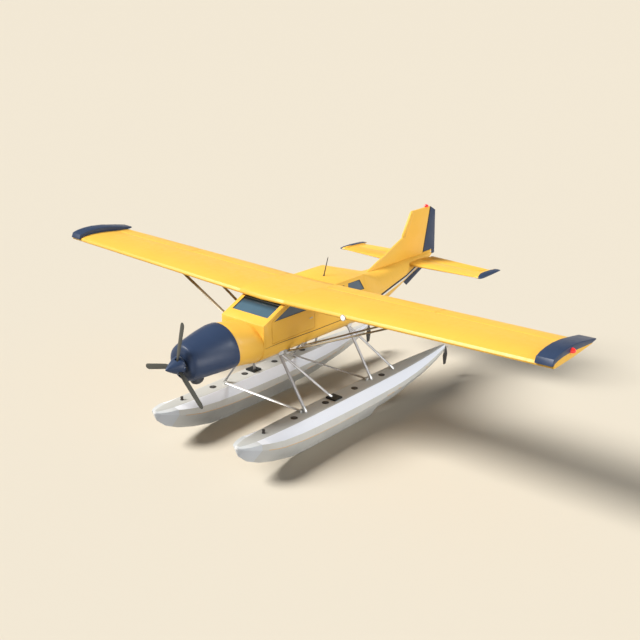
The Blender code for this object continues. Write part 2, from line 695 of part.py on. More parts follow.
def make_wing(side, home, cut, paint, navy):
    word = "left" if side > 0 else "right"
    rings = [mirrored(wing_ring(x), side) for x in (WING_ROOT_X + GAP, WING_END_X)]
    wing = loft("wing_" + word, rings, home)
    for x0, x1 in (FLAP_X, AILERON_X):
        bay = []
        for x in (x0 - MOVE_GAP, x1 + MOVE_GAP):
            y, z, r = nose_circle(x)
            front = y - r - MOVE_GAP
            ring = [(x, front, z - 0.3), (x, front, z + 0.3), (x, 0.4, z + 0.3), (x, 0.4, z - 0.3)]
            bay.append(slanted(ring, x, side))
        boolean(wing, loft("cut_bay", bay, cut), "DIFFERENCE")
    finish(wing, paint)
    made = [wing]
    for name, (x0, x1) in (("flap_", FLAP_X), ("aileron_", AILERON_X)):
        y, z, r = nose_circle((x0 + x1) / 2)
        origin = (side * (x0 + x1) / 2, y, z)
        rings = [slanted(surface_ring(x), x, side) for x in (x0, x1)]
        made.append(finish(loft(name + word, rings, home, False, origin), paint))
    made.append(make_wingtip(side, word, home, cut, navy))
    return made


# Side outline of the dark tip slab in (y, z) at x = 7.13: over its top, then back inside the wing
TIP = [(-2.165, 3.700), (-2.110, 3.820), (-1.950, 3.866), (-1.750, 3.893), (-1.500, 3.900), (-1.150, 3.873),
       (-0.630, 3.785), (-0.340, 3.730), (-0.340, 3.700), (-0.510, 3.682), (-0.600, 3.683), (-0.850, 3.683),
       (-1.200, 3.690), (-2.050, 3.695)]


def make_wingtip(side, word, home, cut, navy):
    """The dark cap: a thick slab that stands on the last part of the wing and overhangs it at both ends."""
    rings = []
    for x, inset in ((6.940, 0.012), (6.952, 0.0), (7.303, 0.0), (7.315, 0.012)):
        lift = DIHEDRAL * (x - 7.13)
        rings.append([(side * x, y, z + lift) for y, z in grown(TIP, -inset)])
    cap = loft("wingtip_" + word, rings, home)
    hole = []
    for x in (6.80, 7.40):
        ring = wing_ring(x)
        mid_y = (WING_LE + te_y(x)) / 2
        grow = []
        for i, (px, py, pz) in enumerate(ring):
            up = 0.0007 if i < 9 else -0.0007
            grow.append((px, py + math.copysign(0.0007, py - mid_y), pz + up))
        hole.append(mirrored(grow, side))
    boolean(cap, loft("cut_tip", hole, cut), "DIFFERENCE")
    return finish(cap, navy)


def make_centre(home, paint):
    rings = [wing_ring(x) for x in (-WING_ROOT_X, 0.0, WING_ROOT_X)]
    return finish(loft("wing_centre", rings, home), paint)


# Struts

def bar(name, p0, p1, chord_dir, chord, thick, plane0, plane1, home, count=12):
    """A streamlined tube along p0 to p1, cut off by two planes given as (point, normal)."""
    a = Vector(p0)
    b = Vector(p1)
    along = (b - a).normalized()
    u = Vector(chord_dir)
    u = (u - along * u.dot(along)).normalized()
    v = along.cross(u)
    rings = []
    for point, normal in (plane0, plane1):
        point = Vector(point)
        normal = Vector(normal)
        ring = []
        for i in range(count):
            t = 2 * math.pi * i / count
            w = a + u * (chord / 2 * math.cos(t)) + v * (thick / 2 * math.sin(t))
            s = (point - w).dot(normal) / along.dot(normal)
            ring.append(tuple(w + along * s))
        rings.append(ring)
    return loft(name, rings, home, True)


def make_float_struts(side, home, paint):
    word = "left" if side > 0 else "right"
    deck = ((0, 0, DECK_Z + GAP), (0, 0, 1))
    box_top = ((0, 0, DECK_Z + 0.045 + GAP), (0, 0, 1))
    pad = ((0, 0, PAD_Z - GAP), (0, 0, 1))
    made = []
    for name, legs in (("front", (((1.36, -2.107), -2.03, deck), ((1.31, -1.085), -1.98, box_top))),
                       ("rear", (((1.335, 0.400), 0.505, deck), ((1.335, 1.330), 0.535, deck)))):
        pieces = []
        for (x, y), top_y, foot in legs:
            pieces.append(bar("float_strut_%s_%s" % (name, word), (side * x, y, DECK_Z), (side * 0.478, top_y, PAD_Z),
                              (0, 1, 0), 0.092 if foot is deck and y < 1 else 0.072, 0.040, foot, pad, home))
        v_strut = boolean(pieces[0], pieces[1], "UNION")
        v_strut.name = "float_strut_%s_%s" % (name, word)
        made.append(finish(v_strut, paint))
    return made


def make_spreaders(home, paint):
    """Two bars from float to float, between the blocks on the decks."""
    made = []
    for name, y in SPREADERS:
        reach = FLOAT_X - 0.112 - GAP
        low = bar("spreader_" + name, (-reach, y, SPREADER_Z), (reach, y, SPREADER_Z), (0, 1, 0), 0.075, 0.038,
                  ((-reach, 0, 0), (1, 0, 0)), ((reach, 0, 0), (1, 0, 0)), home)
        made.append(finish(low, paint))
    return made


def underside(x, y):
    return bottom_z(x) + low_height(x, fraction_at(x, y))


def wing_foot(x, y, side):
    """The plane just below the wing's skin where a strut ends, as (point, normal)."""
    step = 0.02
    slope = (underside(x, y + step) - underside(x, y - step)) / (2 * step)
    return (side * x, y, underside(x, y) - 2 * GAP), (-side * DIHEDRAL, -slope, 1)


def make_wing_struts(side, home, paint):
    """Two nearly parallel struts from lugs low on the cabin to the underside of the wing."""
    word = "left" if side > 0 else "right"
    start = ((side * (0.600 + GAP), 0, 0), (1, 0, 0))
    made = []
    for name, low, high, chord in (("front", (0.55, -1.858, 2.190), (3.71, -1.600), 0.095),
                                   ("rear", (0.55, -1.264, 2.165), (3.70, -0.865), 0.085)):
        x, y = high
        strut = bar("wing_strut_%s_%s" % (name, word), (side * low[0], low[1], low[2]), (side * x, y, underside(x, y)),
                    (0, 1, 0), chord, 0.042, start, wing_foot(x, y, side), home)
        made.append(finish(strut, paint))
    return made


# Floats

KEEL = [(-4.349, 0.905), (-4.330, 0.800), (-4.279, 0.690), (-4.057, 0.490), (-3.694, 0.308), (-3.212, 0.156),
        (-2.634, 0.031), (-2.107, 0.0), (0.348, 0.0)]
KEEL_AFT = [(0.470, 0.140), (0.873, 0.142), (1.372, 0.187), (1.940, 0.288), (2.527, 0.393), (3.130, 0.540),
            (3.558, 0.712), (3.680, 0.800)]
BEAM = [(-4.349, 0.055), (-4.330, 0.105), (-4.279, 0.165), (-4.150, 0.245), (-3.950, 0.305), (-3.694, 0.345),
        (-3.212, 0.375), (-2.634, 0.383), (0.40, 0.383), (1.372, 0.360), (2.20, 0.300), (3.00, 0.190),
        (3.558, 0.080), (3.680, 0.040)]
CHINE = [(-4.349, 0.930), (-4.279, 0.900), (-4.057, 0.840), (-3.907, 0.795), (-3.600, 0.700), (-3.226, 0.622),
         (-2.503, 0.541), (-1.620, 0.505), (-0.930, 0.515), (0.050, 0.540), (1.00, 0.590), (2.00, 0.670), (3.00, 0.775),
         (3.680, 0.850)]
SHOULDER = [(-4.349, 0.945), (-4.279, 0.935), (-3.900, 0.925), (-3.560, 0.850), (-3.220, 0.790), (-2.500, 0.725),
            (-1.740, 0.700), (-0.520, 0.690), (1.00, 0.710), (2.00, 0.760), (3.00, 0.850), (3.680, 0.905)]
DECK_EDGE = [(-4.349, 0.020), (-4.279, 0.055), (-4.150, 0.100), (-3.940, 0.150), (-3.500, 0.190), (-3.05, 0.215),
             (-2.4, 0.235), (0.40, 0.235), (1.372, 0.220), (2.20, 0.185), (3.00, 0.115), (3.558, 0.045),
             (3.680, 0.022)]


def hull_ring(y, keel, cx):
    """Half points from deck centre line to keel, then back up the other side."""
    beam = lerp(BEAM, y)
    edge = lerp(DECK_EDGE, y)
    chine = lerp(CHINE, y)
    shoulder = lerp(SHOULDER, y)
    flat = min(0.018, beam * 0.25)
    edge_z = DECK_Z - 0.012
    half = [(edge * 0.66, DECK_Z), (edge, edge_z), (beam * 0.955, shoulder), (beam, chine), (flat, keel)]
    ring = [(cx + x, y, z) for x, z in half]
    ring += [(cx - x, y, z) for x, z in reversed(half)]
    return ring


def make_float(side, home, cut, paint):
    word = "left" if side > 0 else "right"
    cx = side * FLOAT_X
    rings = []
    for y in (-4.349, -4.330, -4.279, -4.170, -4.057, -3.900, -3.694, -3.450, -3.212, -2.900, -2.634, -2.107,
              -1.30, -0.52, 0.348):
        rings.append(hull_ring(y, lerp(KEEL, y), cx))
    for y in (0.470, 0.873, 1.372, 1.940, 2.527, 3.000, 3.340, 3.558, 3.680):
        rings.append(hull_ring(y, lerp(KEEL_AFT, y), cx))
    hull = loft("float_" + word, rings, home)
    for name, y in SPREADERS:
        near = side * (FLOAT_X - 0.112)
        far = side * (FLOAT_X - 0.062)
        block = box("block", (min(near, far), y - 0.052, DECK_Z - 0.02), (max(near, far), y + 0.052, DECK_Z + 0.052),
                    home)
        boolean(hull, block, "UNION")
    tread = box("tread", (cx - 0.148, -1.22, DECK_Z - 0.02), (cx + 0.148, -0.95, DECK_Z + 0.045), home)
    boolean(hull, tread, "UNION")
    return finish(hull, paint)


def make_water_rudder(side, home, paint):
    word = "left" if side > 0 else "right"
    cx = side * FLOAT_X
    hinge = (cx, 3.712, 0.80)
    rings = []
    for z, front, rear in ((0.862, 3.692, 3.790), (0.700, 3.692, 3.848), (0.620, 3.655, 3.868), (0.345, 3.700, 3.808)):
        rings.append([(cx - 0.010, front, z), (cx + 0.010, front, z), (cx + 0.007, rear, z), (cx - 0.007, rear, z)])
    return finish(loft("water_rudder_" + word, rings, home, False, hinge), paint)


# Lights and antenna

def dome(name, at, normal, radius, height, home, paint):
    """A lamp glass: a low dome standing on a flat base."""
    n = Vector(normal).normalized()
    u = n.orthogonal().normalized()
    v = n.cross(u)
    rings = []
    for k in (0.0, 0.35, 0.70, 0.93):
        r = radius * math.cos(math.asin(k))
        rings.append([tuple(Vector(at) + n * (height * k) + u * (r * math.cos(a)) + v * (r * math.sin(a)))
                      for a in (2 * math.pi * i / 14 for i in range(14))])
    return finish(loft(name, rings, home, True), paint)


def make_antenna(home, paint):
    rings = []
    for t, r in ((0.0, 0.020), (0.04, 0.011), (1.0, 0.007)):
        y = 0.115 + t * 0.164
        z = ROOF_Z + GAP + t * 0.446
        rings.append([(r * math.cos(a), y + r * math.sin(a), z) for a in (2 * math.pi * i / 10 for i in range(10))])
    return finish(loft("antenna", rings, home, True), paint)


def main():
    clear_scene()
    home = make_collection("floatplane", False)
    cut = make_collection("cutters", True)
    paints = {
        "yellow": material("yellow_paint", YELLOW),
        "navy": material("navy_paint", NAVY),
        "silver": material("float_alloy", SILVER, 0.4),
        "alloy": material("strut_alloy", ALLOY, 0.8, 0.3),
        "dark": material("dark_trim", DARK),
        "blade": material("blade_paint", GREY),
        "glass": material("window_glass", GLASS, 0.0, 0.1),
        "leather": material("seat_cloth", LEATHER),
        "red": material("red_lens", RED),
        "green": material("green_lens", GREEN),
        "white": material("clear_lens", WHITE),
        "iron": material("engine_metal", ALLOY, 0.9),
    }
    yellow = paints["yellow"]
    navy = paints["navy"]
    make_cowl(home, cut, navy)
    make_chin_outlet(home, cut, paints["dark"])
    make_engine(home, paints["iron"])
    make_propeller(home, cut, paints["blade"], navy)
    make_nose(home, cut, yellow)
    make_belly(home, cut, yellow)
    make_windscreen(home, cut, yellow, paints["glass"])
    for side in (1, -1):
        make_side(side, home, cut, yellow, paints["glass"])
    make_roof(home, cut, yellow)
    make_panel(home, paints["dark"])
    make_seat("seat_pilot", 0.262, -2.02, 0.22, home, paints["leather"])
    make_seat("seat_copilot", -0.262, -2.02, 0.22, home, paints["leather"])
    make_seat("bench_rear", 0.0, -0.60, 0.48, home, paints["leather"])
    make_tail(home, cut, yellow, navy)
    make_fin(home, cut, yellow, navy, paints["dark"])
    make_centre(home, yellow)
    for side in (1, -1):
        make_wing(side, home, cut, yellow, navy)
        make_wing_struts(side, home, paints["alloy"])
        make_float(side, home, cut, paints["silver"])
        make_float_struts(side, home, paints["alloy"])
        make_water_rudder(side, home, paints["dark"])
    make_spreaders(home, paints["alloy"])
    make_antenna(home, paints["dark"])
    dome("nav_light_left", (7.3157, -1.430, 3.810), (1, 0, 0), 0.058, 0.085, home, paints["red"])
    dome("nav_light_right", (-7.3157, -1.430, 3.810), (-1, 0, 0), 0.058, 0.085, home, paints["green"])
    dome("landing_light", (2.443, -2.1236, 3.521), (0, -1, 0), 0.060, 0.045, home, paints["white"])
    dome("beacon", (0, 4.546, 4.4785), (0, 0, 1), 0.055, 0.085, home, paints["red"])


main()
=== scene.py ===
import math

import bmesh
import bpy
from mathutils import Matrix, Vector
from mathutils.bvhtree import BVHTree


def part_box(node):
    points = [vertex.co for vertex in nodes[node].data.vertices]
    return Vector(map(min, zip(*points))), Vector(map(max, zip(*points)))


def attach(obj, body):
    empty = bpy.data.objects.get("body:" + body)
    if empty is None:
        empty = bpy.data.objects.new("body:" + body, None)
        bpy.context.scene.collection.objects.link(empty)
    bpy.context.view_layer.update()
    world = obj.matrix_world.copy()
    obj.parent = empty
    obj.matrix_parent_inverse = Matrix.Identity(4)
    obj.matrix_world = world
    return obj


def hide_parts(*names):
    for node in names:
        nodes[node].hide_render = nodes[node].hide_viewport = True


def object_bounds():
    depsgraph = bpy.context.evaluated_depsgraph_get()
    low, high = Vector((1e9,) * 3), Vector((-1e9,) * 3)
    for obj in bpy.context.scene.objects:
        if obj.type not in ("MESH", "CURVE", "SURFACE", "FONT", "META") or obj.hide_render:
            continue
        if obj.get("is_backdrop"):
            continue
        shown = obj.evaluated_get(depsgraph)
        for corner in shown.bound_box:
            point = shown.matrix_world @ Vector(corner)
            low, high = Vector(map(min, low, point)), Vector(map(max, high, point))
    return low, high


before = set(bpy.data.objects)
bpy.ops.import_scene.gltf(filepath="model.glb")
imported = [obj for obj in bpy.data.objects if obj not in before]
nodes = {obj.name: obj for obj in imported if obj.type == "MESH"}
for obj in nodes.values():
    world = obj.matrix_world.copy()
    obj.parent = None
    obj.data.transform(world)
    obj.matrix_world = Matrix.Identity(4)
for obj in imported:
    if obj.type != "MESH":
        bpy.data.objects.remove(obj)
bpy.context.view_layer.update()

# Camera.
# It stands off the port bow and above the wing, as in the photograph.
CAMERA_AT = (13.792, -16.141, 9.832)
LOOKS_AT = (0.0, -0.029, 2.35)
FILM_WIDTH = 36
LENS = 50.33
SEES_TO = 2000

camera = bpy.data.objects.new("camera", bpy.data.cameras.new("camera"))
bpy.context.scene.collection.objects.link(camera)
camera.location = CAMERA_AT
camera.rotation_mode = "QUATERNION"
camera.rotation_quaternion = (Vector(LOOKS_AT) - Vector(CAMERA_AT)).to_track_quat("-Z", "Y")
camera.data.sensor_width = FILM_WIDTH
camera.data.lens = LENS
camera.data.clip_end = SEES_TO
bpy.context.scene.camera = camera
bpy.context.scene.view_settings.view_transform = "Standard"


# Studio.
# A pale floor that rises slowly far away, a high key sun off the starboard bow, two weaker ones from port
# that leave the floor alone, and a dim pale sky.
FLOOR_RINGS = ((30, 0.0), (150, 0.0), (280, 14.0), (450, 50.0), (680, 115.0), (960, 212.0))
FLOOR_SIDES = 72
FLOOR_DROP = 0.0005
FLOOR_LIGHT = (0.668, 0.609, 0.505, 1)
FLOOR_DEEP = (0.660, 0.601, 0.497, 1)
FLOOR_BOUNCE = (0.32, 0.32, 0.33, 1)
SKY = (0.86, 0.92, 1.0, 1)
SKY_LOW = (0.26, 0.27, 0.28, 1)
SKY_STRENGTH = 0.24


def shade(tree, kind, inputs, **settings):
    """Adds a shader node. An input is a plain value or another node's output."""
    made = tree.nodes.new(kind)
    for key, value in settings.items():
        setattr(made, key, value)
    for key, value in inputs.items():
        if isinstance(value, bpy.types.NodeSocket):
            tree.links.new(value, made.inputs[key])
        else:
            made.inputs[key].default_value = value
    return made


def mixed(tree, share, first, second):
    """One colour going over to another where the share rises from 0 to 1."""
    return shade(tree, "ShaderNodeMix", {0: share, 6: first, 7: second}, data_type="RGBA").outputs[2]


def faded(tree, value, start, end):
    """0 below start and 1 above end, or the other way round where start is the greater."""
    low, high = min(start, end), max(start, end)
    ends = (0.0, 1.0) if start < end else (1.0, 0.0)
    return shade(tree, "ShaderNodeMapRange", {0: value, 1: low, 2: high, 3: ends[0], 4: ends[1]}).outputs[0]


floor_work = bmesh.new()
rings = []
for radius, height in FLOOR_RINGS:
    ring = []
    for i in range(FLOOR_SIDES):
        a = 2 * math.pi * i / FLOOR_SIDES
        ring.append(floor_work.verts.new((radius * math.cos(a), radius * math.sin(a), height - FLOOR_DROP)))
    rings.append(ring)
floor_work.faces.new(rings[0])
for inner, outer in zip(rings, rings[1:]):
    for i in range(FLOOR_SIDES):
        after = (i + 1) % FLOOR_SIDES
        floor_work.faces.new((inner[i], outer[i], outer[after], inner[after]))
bmesh.ops.recalc_face_normals(floor_work, faces=floor_work.faces)
floor_mesh = bpy.data.meshes.new("floor")
floor_work.to_mesh(floor_mesh)
floor = bpy.data.objects.new("floor", floor_mesh)
bpy.context.scene.collection.objects.link(floor)
floor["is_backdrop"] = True
floor_paint = bpy.data.materials.new("floor")
floor_paint.use_nodes = True
tree = floor_paint.node_tree
floor_sockets = tree.nodes["Principled BSDF"].inputs
grain = shade(tree, "ShaderNodeTexNoise", {"Scale": 0.4, "Detail": 2.0}).outputs["Fac"]
seen = mixed(tree, grain, FLOOR_DEEP, FLOOR_LIGHT)
bounced = shade(tree, "ShaderNodeLightPath", {}).outputs["Is Diffuse Ray"]
tree.links.new(mixed(tree, bounced, seen, FLOOR_BOUNCE), floor_sockets["Base Color"])
upright = shade(tree, "ShaderNodeCombineXYZ", {2: 1.0}).outputs[0]
tree.links.new(upright, floor_sockets["Normal"])
floor_sockets["Roughness"].default_value = 0.9
floor_sockets["Specular IOR Level"].default_value = 0.0
floor_mesh.materials.append(floor_paint)

world = bpy.data.worlds.new("sky")
world.use_nodes = True
tree = world.node_tree
direction = shade(tree, "ShaderNodeTexCoord", {}).outputs["Generated"]
upward = shade(tree, "ShaderNodeSeparateXYZ", {0: direction}).outputs[2]
sky_colour = mixed(tree, faded(tree, upward, 0.0, 0.8), SKY_LOW, SKY)
tree.links.new(sky_colour, tree.nodes["Background"].inputs["Color"])
tree.nodes["Background"].inputs["Strength"].default_value = SKY_STRENGTH
bpy.context.scene.world = world


def sun(name, at, power, colour, spread):
    """A sun lamp that shines from a point towards the aircraft, softened by its spread in degrees."""
    data = bpy.data.lights.new(name, "SUN")
    data.energy = power
    data.color = colour
    data.angle = math.radians(spread)
    obj = bpy.data.objects.new(name, data)
    bpy.context.scene.collection.objects.link(obj)
    obj.location = at
    obj.rotation_mode = "QUATERNION"
    obj.rotation_quaternion = (-Vector(at)).to_track_quat("-Z", "Y")
    obj.visible_camera = False
    return obj


sun("key_lamp", (-10.28, -10.4, 14.0), 5.25, (1.0, 0.985, 0.96), 24)
kept_dark = bpy.data.collections.new("kept_dark")
kept_dark.objects.link(floor)
kept_dark.collection_objects[0].light_linking.link_state = "EXCLUDE"
for fill in (sun("side_lamp", (15, 0.5, 0.9), 1.45, (0.98, 0.98, 1.0), 30),
             sun("back_lamp", (12, 8, 8.0), 1.1, (0.94, 0.97, 1.0), 20)):
    fill.light_linking.receiver_collection = kept_dark
    fill.light_linking.blocker_collection = kept_dark


# Fuselage skin.
# Riveted aluminium sheet sprayed gloss yellow: nose section, screen frame, floor and belly, cabin sides,
# doors, roof, fin and tail cone. The cabin's inner faces are lined in grey cloth.
YELLOW = (0.86, 0.485, 0.068, 1)
YELLOW_DEEP = (0.84, 0.470, 0.063, 1)
LINING = (0.17, 0.155, 0.14, 1)
# Dark brown painted shadow for the windscreen frame under the wing's leading edge.
SCREEN_TOP_SHADOW = (0.030, 0.024, 0.012, 1)
LUG_PALE = (0.66, 0.65, 0.61, 1)
LUGS = ((-2.095, -1.925), (-1.916, -1.800), (-1.315, -1.203), (0.440, 0.605))
SEAM_DARK = 0.35
SEAM_SHARE = 0.30
SKIN_RELIEF = 0.15
X, Y, Z = 0, 1, 2


def reckon(tree, operation, first, second):
    """One step of arithmetic on two values."""
    return shade(tree, "ShaderNodeMath", {0: first, 1: second}, operation=operation).outputs[0]


def both(tree, first, second):
    """1 only where two shares are both 1."""
    return reckon(tree, "MULTIPLY", first, second)


def size_of(tree, value):
    """A value without its sign."""
    return shade(tree, "ShaderNodeMath", {0: value}, operation="ABSOLUTE").outputs[0]


def spot(tree):
    """The place on a piece in metres, as three separate outputs."""
    place = shade(tree, "ShaderNodeTexCoord", {}).outputs["Object"]
    return shade(tree, "ShaderNodeSeparateXYZ", {0: place}).outputs


def speckle(tree, scale, detail):
    """Soft noise that stays with the piece."""
    place = shade(tree, "ShaderNodeTexCoord", {}).outputs["Object"]
    noise = shade(tree, "ShaderNodeTexNoise", {"Vector": place, "Scale": scale, "Detail": detail})
    return noise.outputs["Fac"]


def dimmed(colour, share):
    """A darker shade of a colour."""
    return tuple(share * part for part in colour[:3]) + (1,)


def seam_lines(tree, seams):
    """1 along each seam, a plane given as (axis, position, spacing or 0, half width), and 0 elsewhere."""
    axes = spot(tree)
    found = None
    for axis, position, spacing, half in seams:
        off = reckon(tree, "SUBTRACT", axes[axis], position)
        if spacing:
            off = reckon(tree, "PINGPONG", off, spacing / 2)
        else:
            off = size_of(tree, off)
        line = faded(tree, off, half, half * 0.4)
        found = line if found is None else reckon(tree, "MAXIMUM", found, line)
    return found


def paint(name, light, deep, rough=(0.34, 0.46), metal=0.0, grain=260.0, bump=0.08, cloud=1.2, seams=(),
          spec=0.5, level=False):
    """A finish in two close shades, with uneven gloss, a fine skin and pressed seams, and its node tree."""
    made = bpy.data.materials.new(name)
    made.use_nodes = True
    tree = made.node_tree
    shader = tree.nodes["Principled BSDF"]
    colour = mixed(tree, faded(tree, speckle(tree, cloud, 4.0), 0.35, 0.65), light, deep)
    smears = speckle(tree, 7.0, 5.0)
    gloss = shade(tree, "ShaderNodeMapRange", {0: smears, 1: 0.3, 2: 0.7, 3: rough[0], 4: rough[1]})
    height = reckon(tree, "MULTIPLY", speckle(tree, grain, 2.0), SKIN_RELIEF)
    if seams:
        lines = seam_lines(tree, seams)
        colour = mixed(tree, reckon(tree, "MULTIPLY", lines, SEAM_SHARE), colour, dimmed(deep, SEAM_DARK))
        height = reckon(tree, "SUBTRACT", height, lines)
    dent = shade(tree, "ShaderNodeBump", {"Height": height, "Strength": bump, "Distance": 0.002})
    if level:
        normal = shade(tree, "ShaderNodeNewGeometry", {}).outputs["Normal"]
        lean = shade(tree, "ShaderNodeSeparateXYZ", {0: normal}).outputs
        kept = both(tree, lean[X], faded(tree, size_of(tree, lean[Z]), 0.45, 0.35))
        flat = shade(tree, "ShaderNodeCombineXYZ", {0: kept, 1: lean[Y], 2: lean[Z]}).outputs[0]
        even = shade(tree, "ShaderNodeVectorMath", {0: flat}, operation="NORMALIZE").outputs[0]
        tree.links.new(even, dent.inputs["Normal"])
    tree.links.new(colour, shader.inputs["Base Color"])
    tree.links.new(gloss.outputs[0], shader.inputs["Roughness"])
    tree.links.new(dent.outputs[0], shader.inputs["Normal"])
    shader.inputs["Metallic"].default_value = metal
    shader.inputs["Specular IOR Level"].default_value = spec
    return made, tree


def over(tree, share, colour):
    """Lays another colour over a finish where the share is 1."""
    socket = tree.nodes["Principled BSDF"].inputs["Base Color"]
    under = socket.links[0].from_socket
    tree.links.new(mixed(tree, share, under, colour), socket)


def between(tree, value, low, high, soft=0.002):
    """1 where the value lies between two limits."""
    return both(tree, faded(tree, value, low - soft, low), faded(tree, value, high, high - soft))


def dress(names, finish, edge=0.004, crease=32):
    """Gives CAD nodes their finish, softens their edges and shades the shallow ones smooth."""
    for name in names:
        obj = nodes[name]
        obj.data.materials.clear()
        obj.data.materials.append(finish)
        for face in obj.data.polygons:
            face.use_smooth = True
        weld = obj.modifiers.new("weld", "WELD")
        weld.merge_threshold = 0.00005
        if edge:
            round_edge = obj.modifiers.new("edge", "BEVEL")
            round_edge.width = edge
            round_edge.segments = 2
            round_edge.limit_method = "ANGLE"
            round_edge.angle_limit = math.radians(crease)
            round_edge.harden_normals = True
        split = obj.modifiers.new("crease", "EDGE_SPLIT")
        split.split_angle = math.radians(crease + 3)


yellow, tree = paint("yellow_skin", YELLOW, YELLOW_DEEP, spec=0.3,
                     seams=((Y, 1.30, 0.62, 0.004), (Z, 2.79, 0, 0.004)))
dress(("rear_fuselage",), yellow)
belly_paint, tree = paint("belly_skin", YELLOW, YELLOW_DEEP, spec=0.3)
place = spot(tree)
low_down = faded(tree, place[Z], 2.262, 2.260)
for start, end in LUGS:
    over(tree, both(tree, low_down, between(tree, place[Y], start, end)), LUG_PALE)
dress(("cabin_floor",), belly_paint)
plain_yellow, tree = paint("yellow_panel", YELLOW, YELLOW_DEEP, spec=0.3)
dress(("nose_section", "cabin_roof", "fin"), plain_yellow)
screen_yellow, tree = paint("yellow_screen_frame", YELLOW, YELLOW_DEEP, spec=0.3)
place = spot(tree)
from_middle = size_of(tree, place[X])
# Painted shadow: a dark brown band across the frame's top strip, where the wing's leading edge shades it,
# and thin dark brown strips down its sides near the top as painted shade.
over(tree, both(tree, faded(tree, place[Y], -2.092, -2.088), faded(tree, from_middle, 0.572, 0.568)), SCREEN_TOP_SHADOW)
frame_side_shadow = both(tree, faded(tree, place[Y], -2.5, -2.2), faded(tree, place[Y], -2.088, -2.092))
over(tree, both(tree, frame_side_shadow, between(tree, from_middle, 0.560, 0.5675)), SCREEN_TOP_SHADOW)
dress(("windscreen_frame",), screen_yellow)
lined_yellow, tree = paint("yellow_wall", YELLOW, YELLOW_DEEP, spec=0.3)
over(tree, faded(tree, size_of(tree, spot(tree)[X]), 0.635, 0.632), LINING)
dress(("cabin_side_left", "cabin_side_right", "door_left", "door_right"), lined_yellow, 0.003)


# Cowl, spinner, engine and propeller.
# Pressed sheet sprayed dark blue, held by a ring of quarter-turn screws; a turned blue spinner; three
# dark grey blades; cast grey engine; dark grey air outlet under the cowl.
NAVY = (0.030, 0.050, 0.100, 1)
NAVY_DEEP = (0.026, 0.044, 0.091, 1)
ALLOY = (0.56, 0.56, 0.55, 1)
BLACK = (0.018, 0.018, 0.017, 1)
OUTLET_GREY = (0.035, 0.038, 0.046, 1)
BLADE_GREY = (0.060, 0.060, 0.050, 1)
COWL_AXIS_Z = 2.56
SHAFT_Z = 2.565
CYLINDERS_Y = -4.33


def ray_tree(*names):
    """A search tree over the faces of some CAD nodes, for laying trim on them."""
    verts, faces = [], []
    for name in names:
        data = nodes[name].data
        base = len(verts)
        verts += [v.co.copy() for v in data.vertices]
        faces += [[base + i for i in face.vertices] for face in data.polygons]
    return BVHTree.FromPolygons(verts, faces)


def as_piece(name, work, body, finish, crease=35, edge=0.0):
    """Turns a bmesh into a named piece with its finish, riding on a body."""
    bmesh.ops.recalc_face_normals(work, faces=work.faces)
    mesh = bpy.data.meshes.new(name)
    work.to_mesh(mesh)
    work.free()
    mesh.materials.append(finish)
    mesh.shade_smooth()
    mesh.set_sharp_from_angle(angle=math.radians(crease))
    obj = bpy.data.objects.new(name, mesh)
    bpy.context.scene.collection.objects.link(obj)
    if edge:
        round_edge = obj.modifiers.new("edge", "BEVEL")
        round_edge.width = edge
        round_edge.segments = 2
        round_edge.limit_method = "ANGLE"
    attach(obj, body)
    return obj


def loft(work, rings):
    """Joins closed rings one after the other and closes both ends."""
    made = [[work.verts.new(p) for p in ring] for ring in rings]
    count = len(made[0])
    for first, second in zip(made, made[1:]):
        for i in range(count):
            work.faces.new((first[i], first[(i + 1) % count], second[(i + 1) % count], second[i]))
    work.faces.new(made[0][::-1])
    work.faces.new(made[-1])


def turned(work, at, along, profile, count=24):
    """A turned solid: rows of (height, radius) up an axis from a point."""
    turn = Vector(along).normalized().to_track_quat("Z", "X").to_matrix()
    rings = []
    for height, radius in profile:
        ring = []
        for i in range(count):
            a = 2 * math.pi * i / count
            ring.append(Vector(at) + turn @ Vector((radius * math.cos(a), radius * math.sin(a), height)))
        rings.append(ring)
    loft(work, rings)


def rod(work, start, end, radius, count=10):
    """A round bar between two points."""
    along = Vector(end) - Vector(start)
    turned(work, start, along, ((0, radius), (along.length, radius)), count)


def screws(name, places, radius, body, finish, proud=0.3):
    """Many small round heads, each on a point and along its normal, as one piece."""
    work = bmesh.new()
    for at, normal in places:
        base = Vector(at) - Vector(normal) * radius * 0.3
        turned(work, base, normal, ((0, radius), (radius * (0.3 + proud * 0.7), radius * 0.9),
                                    (radius * (0.3 + proud), radius * 0.5)), 8)
    return as_piece(name, work, body, finish, 50)


def around(tree, y, z, angles, reach=2.0):
    """Where rays towards the long axis at y meet the skin, as (point, normal)."""
    found = []
    for degrees in angles:
        a = math.radians(degrees)
        way = Vector((math.cos(a), 0, math.sin(a)))
        at, normal, face, distance = tree.ray_cast(Vector((0, y, z)) + way * reach, -way)
        if at:
            found.append((at, normal))
    return found


